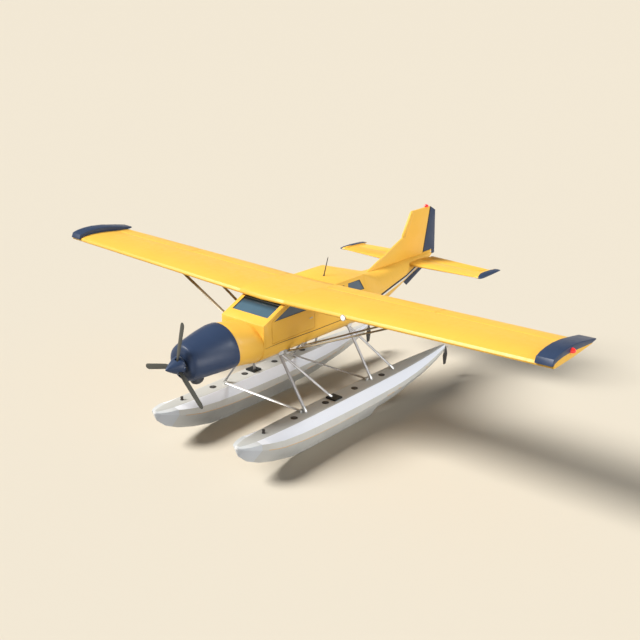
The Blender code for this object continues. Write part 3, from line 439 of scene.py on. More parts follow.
navy, tree = paint("navy_skin", NAVY, NAVY_DEEP, rough=(0.36, 0.44), spec=0.3)
cowl_paint, tree = paint("cowl_skin", NAVY, NAVY_DEEP, rough=(0.36, 0.44), spec=0.3,
                         seams=((Z, COWL_AXIS_Z, 0, 0.004), (Y, -4.44, 0, 0.004)))
dress(("cowl",), cowl_paint, 0.003)
dress(("spinner",), navy, 0.002)
alloy, tree = paint("bare_alloy", ALLOY, (0.50, 0.50, 0.49, 1), rough=(0.28, 0.42), metal=0.85, grain=90.0)
cast, tree = paint("cast_metal", (0.20, 0.20, 0.20, 1), (0.15, 0.15, 0.15, 1), rough=(0.5, 0.65), metal=0.7,
                   grain=60.0, bump=0.4)
dress(("engine",), cast)
black, tree = paint("black_trim", BLACK, (0.028, 0.027, 0.025, 1), rough=(0.45, 0.6), grain=150.0, bump=0.2)
outlet_paint, tree = paint("outlet_grey", OUTLET_GREY, (0.026, 0.028, 0.034, 1), rough=(0.5, 0.65))
dress(("chin_outlet",), outlet_paint, 0)
blade_paint, tree = paint("blade_paint", BLADE_GREY, (0.052, 0.052, 0.045, 1), rough=(0.42, 0.52))
dress(("propeller",), blade_paint, 0)

cowl_tree = ray_tree("cowl")
cowl_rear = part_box("cowl")[1].y
cowl_screws = around(cowl_tree, cowl_rear - 0.035, COWL_AXIS_Z, range(0, 360, 12))
for y in (-3.75, -4.0, -4.25):
    cowl_screws += around(cowl_tree, y, COWL_AXIS_Z, (3, -3, 177, 183))
screws("cowl_screws", cowl_screws, 0.008, "airframe", navy)
spin_axis = Vector((0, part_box("spinner")[1].y, SHAFT_Z))
plate_profile = ((0, 0.196), (0.004, 0.206), (0.0055, 0.206))
work = bmesh.new()
turned(work, spin_axis + Vector((0, 0.006, 0)), (0, -1, 0), plate_profile, 48)
as_piece("spinner_plate", work, "propeller", alloy)
spinner_screws = around(ray_tree("spinner"), spin_axis.y - 0.03, SHAFT_Z, range(0, 360, 30))
screws("spinner_screws", spinner_screws, 0.005, "propeller", alloy)
cooling_fins = [(0.018 * k, 0.062 if k % 2 else 0.052) for k in range(10)]
work = bmesh.new()
for turn in range(0, 360, 40):
    a = math.radians(turn + 10)
    way = Vector((math.cos(a), 0, math.sin(a)))
    turned(work, Vector((0, CYLINDERS_Y, SHAFT_Z)) + way * 0.14, way, cooling_fins, 16)
as_piece("engine_cylinders", work, "airframe", cast)


# Windows.
# Tinted acrylic panes let into the skin, each in a black rubber seal. The windscreen darkens towards its top
# as a painted shadow under the wing.
GLASS = (0.095, 0.170, 0.225, 1)
GLASS_DEEP = (0.072, 0.125, 0.165, 1)
SCREEN_GLASS_SHADOW = (0.010, 0.014, 0.014, 1)
SIDE_GLASS = (0.135, 0.175, 0.215, 1)
SIDE_GLASS_DEEP = (0.125, 0.165, 0.205, 1)
SEAL_RADIUS = 0.007


def seal(name, corners, radius, body, finish):
    """A rubber strip run round an opening through its corners."""
    curve = bpy.data.curves.new(name, "CURVE")
    curve.dimensions = "3D"
    curve.bevel_depth = radius
    curve.bevel_resolution = 1
    line = curve.splines.new("POLY")
    line.points.add(len(corners) - 1)
    for point, corner in zip(line.points, corners):
        point.co = (*corner, 1)
    line.use_cyclic_u = True
    curve.materials.append(finish)
    obj = bpy.data.objects.new(name, curve)
    bpy.context.scene.collection.objects.link(obj)
    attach(obj, body)
    return obj


def outline(name):
    """The corners of a side window's pane as (y, z), in order round its middle."""
    points = {(round(v.co.y, 4), round(v.co.z, 4)) for v in nodes[name].data.vertices}
    middle = [sum(p[i] for p in points) / len(points) for i in (0, 1)]
    return sorted(points, key=lambda p: math.atan2(p[1] - middle[1], p[0] - middle[0]))


glass, tree = paint("tinted_pane", GLASS, GLASS_DEEP, rough=(0.08, 0.12), bump=0.0, cloud=0.8)
# Painted shadow: the windscreen darkens to near black towards its top edge, under the wing's leading edge.
over(tree, faded(tree, spot(tree)[Y], -2.27, -2.10), SCREEN_GLASS_SHADOW)
side_glass, side_tree = paint("side_pane", SIDE_GLASS, SIDE_GLASS_DEEP, rough=(0.08, 0.12), bump=0.0,
                              cloud=0.8)
for pane_tree in (tree, side_tree):
    pane_tree.nodes["Principled BSDF"].inputs["Transmission Weight"].default_value = 0.2
    pane_tree.nodes["Principled BSDF"].inputs["IOR"].default_value = 1.3
dress(("windscreen",), glass, 0)
rubber, tree = paint("rubber", (0.022, 0.018, 0.014, 1), (0.03, 0.026, 0.02, 1), rough=(0.6, 0.7),
                     grain=80.0)
CABIN_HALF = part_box("cabin_side_left")[1].x
for side, word in ((1, "left"), (-1, "right")):
    for kind, body in (("door_window_", "door_" + word), ("mid_window_", "airframe"),
                       ("rear_window_", "airframe")):
        dress((kind + word,), side_glass, 0)
        corners = [(side * (CABIN_HALF - 0.004), y, z) for y, z in outline(kind + word)]
        seal(kind + "seal_" + word, corners, SEAL_RADIUS, body, rubber)
low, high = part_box("windscreen")
rise = (high.z - low.z) / (high.y - low.y)
screen = [(x, y, low.z + 0.012 + rise * (y - low.y))
          for x, y in ((low.x, low.y), (high.x, low.y), (high.x, high.y), (low.x, high.y))]
seal("windscreen_seal", screen, SEAL_RADIUS, "airframe", rubber)


# Cabin.
# Cloth seats on tube frames, a black panel with plain dials, two control wheels, pedals and a floor mat.
SEAT_X = 0.262
SEATS = (("seat_pilot", SEAT_X, -2.02, 0.40), ("seat_copilot", -SEAT_X, -2.02, 0.40),
         ("bench_rear", 0.0, -0.60, 0.92))
SEAT_HEIGHT = 2.52
FLOOR_TOP = 2.2705
LEG_FOOT_Z = 2.274
LEG_RADIUS = 0.013
RAIL_RADIUS = 0.012
SEAT_CLOTH = (0.085, 0.060, 0.042, 1)
MAT_HALF = 0.54
MAT_ROWS = ((-2.66, 2.2712), (-2.64, 2.2755), (0.80, 2.2755), (0.83, 2.2712))


def cushion(work, centre, size, tilt, channels):
    """A crowned pad: a finely divided block, pulled in at its edges, with sewn channels across its top."""
    before = len(work.verts)
    made = bmesh.ops.create_cube(work, size=2.0)
    edges = list({edge for vert in made["verts"] for edge in vert.link_edges})
    bmesh.ops.subdivide_edges(work, edges=edges, cuts=11, use_grid_fill=True)
    turn = Matrix.Rotation(math.radians(tilt), 3, "X")
    for vert in list(work.verts)[before:]:
        u, v, w = vert.co
        pull = 1 - 0.10 * (u * u * v * v)
        thick = (1 - u ** 4) * (1 - v ** 4)
        sewn = abs(math.sin(math.pi * channels * (u + 1) / 2)) ** 0.4 if abs(u) < 0.98 else 0
        crown = 0.55 + 0.30 * thick + 0.15 * sewn * (thick > 0.05)
        shaped = Vector((u * pull * size[0] / 2, v * pull * size[1] / 2, w * crown * size[2] / 2))
        vert.co = turn @ shaped + Vector(centre)


cloth, tree = paint("seat_cloth", SEAT_CLOTH, (0.060, 0.043, 0.032, 1), rough=(0.75, 0.9), grain=900.0,
                    bump=0.6, cloud=8.0)
tree.nodes["Principled BSDF"].inputs["Sheen Weight"].default_value = 0.4
for name, x, y, width in SEATS:
    count = 5 if width < 0.5 else 10
    work = bmesh.new()
    cushion(work, (x, y + 0.24, SEAT_HEIGHT - 0.015), (width, 0.47, 0.14), -4, count)
    cushion(work, (x, y + 0.535, SEAT_HEIGHT + 0.30), (width, 0.56, 0.12), 80, count)
    pad = as_piece(name + "_cushions", work, "airframe", cloth, 60)
    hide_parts(name)
    work = bmesh.new()
    low_rail = LEG_FOOT_Z + 0.011
    high_rail = SEAT_HEIGHT - 0.065
    for side in (-1, 1):
        foot_x = x + side * (width / 2 - 0.04)
        for foot_y in (y + 0.05, y + 0.44):
            rod(work, (foot_x, foot_y, LEG_FOOT_Z), (foot_x, foot_y, SEAT_HEIGHT - 0.06), LEG_RADIUS)
        rod(work, (foot_x, y + 0.03, low_rail), (foot_x, y + 0.46, low_rail), RAIL_RADIUS)
        rod(work, (foot_x, y + 0.02, high_rail), (foot_x, y + 0.46, high_rail), LEG_RADIUS)
    as_piece(name + "_frame", work, "airframe", alloy)

mat_cloth, tree = paint("mat_cloth", (0.045, 0.043, 0.040, 1), (0.032, 0.031, 0.030, 1), rough=(0.85, 0.95),
                        grain=700.0, bump=0.5)
work = bmesh.new()
loft(work, [[(-MAT_HALF, y, FLOOR_TOP), (-MAT_HALF, y, z), (MAT_HALF, y, z), (MAT_HALF, y, FLOOR_TOP)]
            for y, z in MAT_ROWS])
as_piece("floor_mat", work, "airframe", mat_cloth)

crackle, tree = paint("panel_crackle", (0.016, 0.016, 0.016, 1), (0.024, 0.024, 0.023, 1), rough=(0.6, 0.75),
                      grain=350.0, bump=0.5)
dress(("instrument_panel",), crackle)
dial_white, tree = paint("dial_white", (0.55, 0.55, 0.52, 1), (0.5, 0.5, 0.48, 1))
PANEL_FOOT = Vector((0, -2.50, 2.74))
PANEL_RISE = Vector((0, 0.03, 0.27))
PANEL_OUT = Vector((0, 0.27, -0.03)).normalized()
dials = []
for side in (1, -1):
    for dx in (-0.10, 0.0, 0.10):
        for share in (0.38, 0.74):
            dials.append((side * SEAT_X + dx, share, 0.038))
for dx in (-0.07, 0.0, 0.07):
    dials.append((dx, 0.80, 0.026))
rims = bmesh.new()
faces = bmesh.new()
hands = bmesh.new()
for x, share, radius in dials:
    at = PANEL_FOOT + PANEL_RISE * share + Vector((x, 0, 0))
    rim = ((-0.002, radius), (0.006, radius), (0.008, radius * 0.92), (0.003, radius * 0.86))
    turned(rims, at, PANEL_OUT, rim, 20)
    turned(faces, at, PANEL_OUT, ((0.0, radius * 0.84), (0.0042, radius * 0.84)), 20)
    for mark in range(8):
        a = 2 * math.pi * mark / 8
        way = Vector((math.cos(a), 0, math.sin(a)))
        start = at + PANEL_OUT * 0.0045
        rod(hands, start + way * radius * 0.62, start + way * radius * 0.78, 0.0012, 5)
    a = 1.1 + 2.3 * share + 4 * x
    pin = at + PANEL_OUT * 0.0055
    rod(hands, pin, pin + Vector((math.cos(a), 0, math.sin(a))) * radius * 0.6, 0.0014, 5)
as_piece("dial_rims", rims, "airframe", alloy)
as_piece("dial_faces", faces, "airframe", black)
as_piece("dial_marks", hands, "airframe", dial_white)
work = bmesh.new()
pedal_plate = ((0, 0.03), (0.012, 0.03), (0.014, 0.024))
lever_knob = ((0, 0.008), (0.006, 0.013), (0.018, 0.013), (0.024, 0.006))
for side in (1, -1):
    hub = Vector((side * SEAT_X, -2.36, 2.80))
    rod(work, hub + Vector((0, -0.135, 0)), hub, 0.016)
    for bend in range(-120, 121, 24):
        ends = []
        for degrees in (bend - 12, bend + 12):
            a = math.radians(degrees)
            ends.append(hub + Vector((0.125 * math.sin(a), 0, -0.10 * math.cos(a) + 0.02)))
        rod(work, ends[0], ends[1], 0.011, 8)
    rod(work, hub + Vector((-0.11, 0, 0)), hub + Vector((0.11, 0, 0)), 0.010)
    for dx in (-0.08, 0.08):
        pedal = hub + Vector((dx, -0.62, -0.34))
        turned(work, pedal, (0, 0.5, 1), pedal_plate, 8)
        rod(work, hub + Vector((dx, -0.62, -0.42)), pedal, 0.008)
for lever in (-0.03, 0.0, 0.03):
    rod(work, (lever, -2.485, 2.78), (lever, -2.42, 2.82), 0.004, 6)
    turned(work, (lever, -2.42, 2.82), (0, 0.85, 0.5), lever_knob, 10)
as_piece("controls", work, "airframe", black)


# Side line.
# A thin dark line painted along each side at the foot of the cabin wall, which fades out under the screen,
# and a broader blue one with a cream strip below it along the tail cone.
LINE_BROWN = (0.085, 0.045, 0.012, 1)
LINE_NAVY = (0.018, 0.022, 0.034, 1)
CREAM = (0.80, 0.76, 0.66, 1)
STRIP_DROP = 0.055
CABIN_LINE = ((-2.700, 2.530, 0.002), (-2.206, 2.540, 0.008), (-1.006, 2.506, 0.008), (-0.056, 2.500, 0.008),
              (1.020, 2.500, 0.010))
TAIL_LINE = ((1.060, 2.515, 0.012), (1.830, 2.655, 0.026), (2.550, 2.733, 0.028), (3.271, 2.812, 0.028),
             (3.834, 2.952, 0.022), (4.100, 3.000, 0.008))


def read(rows, y, column):
    """Straight-line reading of one column of a table of rows that start with y."""
    for first, second in zip(rows, rows[1:]):
        if y <= second[0]:
            share = (y - first[0]) / (second[0] - first[0])
            return first[column] + (second[column] - first[column]) * share
    return rows[-1][column]


def painted_line(name, tree, rows, side, drop, finish):
    """A hair-thick band laid on the skin along a table of (y, height, half width)."""
    work = bmesh.new()
    rings = []
    first, last = rows[0][0], rows[-1][0]
    steps = int((last - first) / 0.03)
    for i in range(steps + 1):
        y = first + (last - first) * i / steps
        middle = read(rows, y, 1) - drop
        half = read(rows, y, 2)
        hits = []
        for share in (-1, -0.5, 0, 0.5, 1):
            start = Vector((side * 2, y, middle + half * share))
            at, normal, face, distance = tree.ray_cast(start, Vector((-side, 0, 0)))
            if at and at.x * side > 0:
                hits.append((at, normal))
        if len(hits) == 5:
            ring = [at + out * 0.002 for at, out in hits]
            rings.append([hits[0][0] - hits[0][1] * 0.001] + ring + [hits[-1][0] - hits[-1][1] * 0.001])
    loft(work, rings)
    return as_piece(name, work, "airframe", finish, 60)


line_brown, tree = paint("line_brown", LINE_BROWN, dimmed(LINE_BROWN, 0.8))
line_navy, tree = paint("line_navy", LINE_NAVY, (0.014, 0.018, 0.028, 1), spec=0.2)
cream, tree = paint("cream_paint", CREAM, (0.77, 0.73, 0.63, 1))
cabin_skin = ray_tree("cabin_side_left", "cabin_side_right", "cabin_floor", "nose_section",
                      "windscreen_frame", "rear_fuselage")
for side, word in ((1, "left"), (-1, "right")):
    painted_line("cabin_line_" + word, cabin_skin, CABIN_LINE, side, 0.0, line_brown)
    painted_line("tail_line_" + word, cabin_skin, TAIL_LINE, side, 0.0, line_navy)
    painted_line("tail_strip_" + word, cabin_skin, TAIL_LINE, side, STRIP_DROP, cream)


# Door fittings.
# A sunk handle plate with a lever near the rear edge of each door, and two strap hinges at the front.
LEVER_SECTION = ((0.008, -0.009), (0.016, -0.009), (0.016, 0.009), (0.008, 0.009))
HANDLE_Z = 2.86
HINGES_Z = (2.66, 3.02)
for side, word in ((1, "left"), (-1, "right")):
    work = bmesh.new()
    low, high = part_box("door_" + word)
    handle = Vector((side * (CABIN_HALF + 0.001), high.y - 0.10, HANDLE_Z))
    turned(work, handle, (side, 0, 0), ((0, 0.022), (0.006, 0.022), (0.010, 0.014)), 18)
    loft(work, [[(handle.x + side * dx, handle.y + dy, handle.z + dz) for dx, dz in LEVER_SECTION]
                for dy in (0.012, -0.095)])
    as_piece("door_handle_" + word, work, "door_" + word, alloy, 35, 0.002)
    work = bmesh.new()
    for z in HINGES_Z:
        hinge = Vector((side * (CABIN_HALF + 0.002), low.y - 0.0035, z))
        rod(work, hinge - Vector((0, 0, 0.035)), hinge + Vector((0, 0, 0.035)), 0.006)
    as_piece("door_hinges_" + word, work, "airframe", plain_yellow)


# Aerial.
# A bent black whip on a small round foot on the cabin roof.
dress(("antenna",), black, 0)
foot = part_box("antenna")[0]
foot_profile = ((0, 0.030), (0.004, 0.030), (0.010, 0.020), (0.016, 0.014))
sleeve_profile = ((0, 0.016), (0.06, 0.014), (0.44, 0.011))
work = bmesh.new()
turned(work, (0, foot.y + 0.02, foot.z), (0, 0, 1), foot_profile, 20)
turned(work, (0, foot.y + 0.022, foot.z + 0.004), (0, 0.164, 0.446), sleeve_profile, 10)
as_piece("antenna_foot", work, "airframe", black)


# Wing.
# Sheet over ribs, sprayed yellow like the body, with flush fuel caps above and inspection plates below.
# The flaps and ailerons are made the same way.
RIB = 0.52
SPAR_Y = -1.62
NOSE_SEAM_Y = -2.02
CAP_PROFILE = ((0, 0.046), (0.0052, 0.046), (0.0062, 0.042), (0.0062, 0.012))
PLATE_PROFILE = ((0, 0.068), (0.0036, 0.068), (0.0042, 0.062))
PLATES_X = (2.0, 3.1, 4.7, 6.2)
PLATES_Y = -1.42
FUEL_CAP_AT = (1.62, -1.30)
WING_RIVET = 0.0028
wing_paint, tree = paint("wing_skin", YELLOW, YELLOW_DEEP, spec=0.3, bump=0.05, level=True,
                         seams=((X, 0.0, RIB, 0.003), (Y, SPAR_Y, 0, 0.003), (Y, NOSE_SEAM_Y, 0, 0.003)))
WING = ("wing_left", "wing_right", "wing_centre")
dress(WING, wing_paint, 0.0012, 35)
dress(("flap_left", "flap_right", "aileron_left", "aileron_right"), wing_paint, 0.0012, 35)
wing_tree = ray_tree(*WING)


def dropped(tree, x, y, down=True):
    """Where a ray straight down, or up, meets the skin, as (point, normal)."""
    start = Vector((x, y, 9.0 if down else -1.0))
    at, normal, face, distance = tree.ray_cast(start, Vector((0, 0, -1 if down else 1)))
    return (at, normal) if at else None


heads = []
for step in range(-13, 14):
    for row in range(24):
        for down in (True, False):
            heads.append(dropped(wing_tree, step * RIB + 0.012, -1.98 + row * 0.052, down))
for step in range(-86, 87):
    for y in (SPAR_Y - 0.015, NOSE_SEAM_Y + 0.015):
        for down in (True, False):
            heads.append(dropped(wing_tree, step * 0.08, y, down))
heads = [hit for hit in heads if hit]
screws("wing_rivets", heads, WING_RIVET, "airframe", plain_yellow, 0.12)
caps = bmesh.new()
plates = bmesh.new()
for side in (1, -1):
    at, normal = dropped(wing_tree, side * FUEL_CAP_AT[0], FUEL_CAP_AT[1])
    turned(caps, at - normal * 0.004, normal, CAP_PROFILE, 28)
    for x in PLATES_X:
        at, normal = dropped(wing_tree, side * x, PLATES_Y, False)
        turned(plates, at - normal * 0.002, normal, PLATE_PROFILE, 28)
as_piece("fuel_caps", caps, "airframe", plain_yellow)
as_piece("inspection_plates", plates, "airframe", plain_yellow)


# Wing tips and lamps.
# Dark blue moulded tip caps; red and green tip lamps, a white landing lamp in the leading edge and a red
# beacon on the fin, all clear moulded lenses over small bulbs.
dress(("wingtip_left", "wingtip_right"), navy, 0.004)


def lens(name, colour, glow):
    """Moulded clear plastic that glows a little, as over a bulb."""
    made = bpy.data.materials.new(name)
    made.use_nodes = True
    tree = made.node_tree
    shader = tree.nodes["Principled BSDF"]
    moulded = mixed(tree, speckle(tree, 60.0, 2.0), colour, dimmed(colour, 0.8))
    tree.links.new(moulded, shader.inputs["Base Color"])
    shader.inputs["Roughness"].default_value = 0.12
    shader.inputs["Coat Weight"].default_value = 0.6
    shader.inputs["Emission Color"].default_value = colour
    shader.inputs["Emission Strength"].default_value = glow
    return made


red_lens = lens("red_lens", (0.85, 0.030, 0.025, 1), 0.6)
dress(("nav_light_left", "beacon"), red_lens, 0)
dress(("nav_light_right",), lens("green_lens", (0.02, 0.50, 0.10, 1), 0.3), 0)
dress(("landing_light",), lens("clear_lens", (0.90, 0.90, 0.86, 1), 0.8), 0)
rim_profile = ((0, 0.060), (0, 0.072), (0.010, 0.072), (0.012, 0.062))
work = bmesh.new()
low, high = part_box("landing_light")
lamp_at = (low + high) / 2
turned(work, (lamp_at.x, high.y - 0.004, lamp_at.z), (0, -1, 0), rim_profile, 28)
as_piece("landing_light_rim", work, "airframe", alloy)
foot_profile = ((0, 0.058), (0.006, 0.058), (0.008, 0.055))
dome_profile = ((0.001, 0.052), (0.012, 0.063), (0.030, 0.068), (0.048, 0.062), (0.064, 0.045),
                (0.074, 0.024), (0.0788, 0.006))
work = bmesh.new()
low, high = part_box("beacon")
beacon_at = (low + high) / 2
turned(work, (beacon_at.x, beacon_at.y, low.z - 0.004), (0, 0, 1), foot_profile, 24)
as_piece("beacon_foot", work, "airframe", plain_yellow)
work = bmesh.new()
turned(work, (beacon_at.x, beacon_at.y, low.z), (0, 0, 1), dome_profile, 24)
as_piece("beacon_dome", work, "airframe", red_lens)


# Wing struts.
# Drawn streamline tube in weathered bronze-grey paint, two to a side, each with an alloy fork cuff at
# both ends.
STRUT = (0.36, 0.30, 0.20, 1)
WING_STRUT_THICK = 0.042
WING_CUFF = 0.17
strut_paint, tree = paint("strut_paint", STRUT, (0.32, 0.265, 0.175, 1), rough=(0.36, 0.48), metal=0.2)


def end_centres(name, axis):
    """The middles of a straight strut's two end faces, told apart by their place on one axis."""
    points = sorted((v.co.copy() for v in nodes[name].data.vertices), key=lambda p: abs(p[axis]))
    share = len(points) // 6
    first, last = points[:share], points[-share:]
    return sum(first, Vector()) / share, sum(last, Vector()) / share


def cuff(work, start, end, reach, chord, thick, count=16):
    """A tapered sleeve over the first stretch of a streamline tube."""
    along = (end - start).normalized()
    fore_aft = Vector((0, 1, 0))
    wide = (fore_aft - along * along.dot(fore_aft)).normalized()
    deep = along.cross(wide)
    rings = []
    for s, grow in ((0.012, 0.0075), (0.02, 0.010), (reach * 0.8, 0.006), (reach, 0.0015)):
        ring = []
        for i in range(count):
            a = 2 * math.pi * i / count
            ring.append(start + along * s + wide * ((chord / 2 + grow) * math.cos(a))
                        + deep * ((thick / 2 + grow) * math.sin(a)))
        rings.append(ring)
    loft(work, rings)


for side, word in ((1, "left"), (-1, "right")):
    for place_word, chord in (("front", 0.095), ("rear", 0.085)):
        name = "wing_strut_%s_%s" % (place_word, word)
        dress((name,), strut_paint, 0, 40)
        start, end = end_centres(name, X)
        work = bmesh.new()
        cuff(work, start, end, WING_CUFF, chord, WING_STRUT_THICK)
        cuff(work, end, start, WING_CUFF, chord, WING_STRUT_THICK)
        as_piece(name + "_cuffs", work, "airframe", alloy)


# Tail.
# The fixed tailplane and the fin are yellow, with moulded blue ends on the tailplane. The rudder and the
# small fin below are blue. A yellow fairing closes the body under the rudder's foot.
TAIL_TIP_X = 2.1995
HINGE_FOOT_Z = 3.198
HINGE_SLOPE = 0.2476
HINGE_SHADE = (0.006, 0.006, 0.006, 1)
FAIRING = ((4.350, 0.030, 3.200), (4.385, 0.046, 3.2075), (4.700, 0.038, 3.2075), (4.830, 0.026, 3.204),
           (4.868, 0.014, 3.200))
tail_paint, tree = paint("tail_skin", YELLOW, YELLOW_DEEP, spec=0.3, seams=((X, 0.0, 0.46, 0.003),))
place = spot(tree)
set_back = reckon(tree, "MULTIPLY", faded(tree, place[Y], 4.0, 3.65), 0.10)
outboard = reckon(tree, "SUBTRACT", size_of(tree, place[X]), set_back)
over(tree, faded(tree, outboard, TAIL_TIP_X - 0.0015, TAIL_TIP_X + 0.0015), NAVY)
dress(("tailplane", "elevator_left", "elevator_right"), tail_paint, 0.003)
rudder_paint, tree = paint("rudder_skin", NAVY, NAVY_DEEP, rough=(0.36, 0.44), spec=0.3,
                           seams=((Z, 3.30, 0.29, 0.003),))
place = spot(tree)
rake = reckon(tree, "MULTIPLY", reckon(tree, "SUBTRACT", place[Z], HINGE_FOOT_Z), HINGE_SLOPE)
behind = reckon(tree, "SUBTRACT", place[Y], rake)
over(tree, faded(tree, behind, 4.436, 4.433), HINGE_SHADE)
dress(("rudder",), rudder_paint, 0.002)
dress(("ventral_fin",), navy, 0.002)
work = bmesh.new()
rings = []
for y, half, top in FAIRING:
    section = ((-1, 3.160), (-1, 3.198), (-0.5, top), (0.5, top), (1, 3.198), (1, 3.160))
    rings.append([(share * half, y, z) for share, z in section])
loft(work, rings)
as_piece("rudder_fairing", work, "airframe", plain_yellow, 50)
EDGE_SECTION = ((-0.040, 0.078), (-0.058, 0.035), (-0.052, -0.010), (-0.028, -0.036), (0.0, -0.043),
                (0.028, -0.036), (0.052, -0.010), (0.058, 0.035), (0.040, 0.078))
EDGE_LINE = ((3.452, 3.795, 0.55), (3.478, 3.845, 1.0), (3.640, 4.108, 1.0), (3.815, 4.398, 1.0),
             (3.852, 4.452, 0.9), (3.872, 4.478, 0.55))
way_out = Vector((0, 0.855, -0.519))
work = bmesh.new()
loft(work, [[Vector((x * size, y, z)) + way_out * back * size for x, back in EDGE_SECTION]
            for y, z, size in EDGE_LINE])
as_piece("fin_edge", work, "airframe", plain_yellow, 60)


# Floats.
# Riveted alloy hulls in warm light grey. Their upward facets below the deck are a bluish white: partly white
# strake paint, partly a painted highlight. Darker grey decks; moulded bow caps in a bluer grey, which is
# painted shade for the shading step at the bow; an orange chine strip whose orange is a painted warm
# reflection, giving way in patches to hull grey towards the stern. The hull darkens in patches towards the
# keel. The raised box on each deck is black tread.
HULL = (0.62, 0.605, 0.545, 1)
HULL_DEEP = (0.58, 0.565, 0.51, 1)
DECK = (0.505, 0.505, 0.475, 1)
STRAKE_WHITE_AND_HIGHLIGHT = (0.83, 0.850, 0.89, 1)
BOW_CAP_SHADE_GREY = (0.60, 0.615, 0.615, 1)
CHINE_REFLECTION_ORANGE = (0.70, 0.44, 0.19, 1)
KEEL_DARK = (0.30, 0.285, 0.255, 1)
HATCH_BLACK = (0.035, 0.030, 0.026, 1)
BOW_CAP_Y = -3.87
FLOAT_X = 1.347
DECK_Z = 0.96
HATCH_Y = (-2.506, -1.405, -0.302, 0.800)
CLEAT_Y = -3.504
FRAME_Y = -3.30
FRAME_SPACING = 0.55
FLOAT_RIVET = 0.0035
DECK_RIVETS_OUT = 0.1645
TREAD = (-1.225, -0.945)
BUMPER_Z = 0.910
BUMPER_PROFILE = ((0, 0.052), (0.018, 0.054), (0.032, 0.044), (0.040, 0.024))
HATCH_PROFILE = ((0, 0.086), (0.006, 0.086), (0.008, 0.082), (0.008, 0.076), (0.005, 0.074), (0.005, 0.070),
                 (0.009, 0.066), (0.0095, 0.02))
CLEAT_PROFILE = ((0, 0.044), (0.008, 0.044), (0.014, 0.034), (0.062, 0.031), (0.068, 0.037), (0.082, 0.036),
                 (0.088, 0.026))

hull_paint, tree = paint("float_skin", HULL, HULL_DEEP, rough=(0.34, 0.46), spec=0.25, cloud=2.0,
                         seams=((Y, FRAME_Y, FRAME_SPACING, 0.003),))
place = spot(tree)
normal = shade(tree, "ShaderNodeNewGeometry", {}).outputs["True Normal"]
facing = shade(tree, "ShaderNodeSeparateXYZ", {0: normal}).outputs[Z]
aft = faded(tree, place[Y], BOW_CAP_Y - 0.001, BOW_CAP_Y + 0.001)
# Facets that turn upwards below the deck are a bluish white: white strake paint together with a painted
# highlight of the cool fill light.
over(tree, both(tree, faded(tree, facing, 0.22, 0.24), aft), STRAKE_WHITE_AND_HIGHLIGHT)
# Painted shade: the bow cap's bluer grey stands in for the shading step where the cap meets the hull.
over(tree, faded(tree, place[Y], BOW_CAP_Y + 0.001, BOW_CAP_Y - 0.001), BOW_CAP_SHADE_GREY)
deck_up = faded(tree, place[Z], DECK_Z - 0.0125, DECK_Z - 0.0115)
over(tree, both(tree, deck_up, faded(tree, place[Y], -4.305, -4.295)), DECK)
box_up = faded(tree, place[Z], DECK_Z + 0.002, DECK_Z + 0.004)
over(tree, both(tree, between(tree, place[Y], *TREAD), box_up), BLACK)
# The hull darkens in patches towards the keel, from 0.22 m down.
keel_patches = both(tree, faded(tree, place[Z], 0.22, 0.0), faded(tree, speckle(tree, 14.0, 8.0), 0.5, 0.62))
over(tree, reckon(tree, "MULTIPLY", keel_patches, 0.5), KEEL_DARK)
dress(("float_left", "float_right"), hull_paint, 0.004, 12)
# Painted reflection: the chine strip's orange is a warm reflection painted on; towards the stern it gives
# way in patches to hull grey.
chine_reflection_paint, tree = paint("chine_reflection_orange", CHINE_REFLECTION_ORANGE, (0.66, 0.41, 0.18, 1))
aft = faded(tree, spot(tree)[Y], -2.4, -0.4)
reflection_patches = faded(tree, speckle(tree, 2.6, 3.0), 0.42, 0.50)
over(tree, both(tree, reflection_patches, aft), HULL)
white_rubber, tree = paint("bumper_rubber", (0.74, 0.73, 0.70, 1), (0.70, 0.69, 0.66, 1), rough=(0.5, 0.6))
hatch_black, tree = paint("hatch_black", HATCH_BLACK, (0.028, 0.025, 0.022, 1), rough=(0.45, 0.6),
                          grain=120.0, bump=0.3)

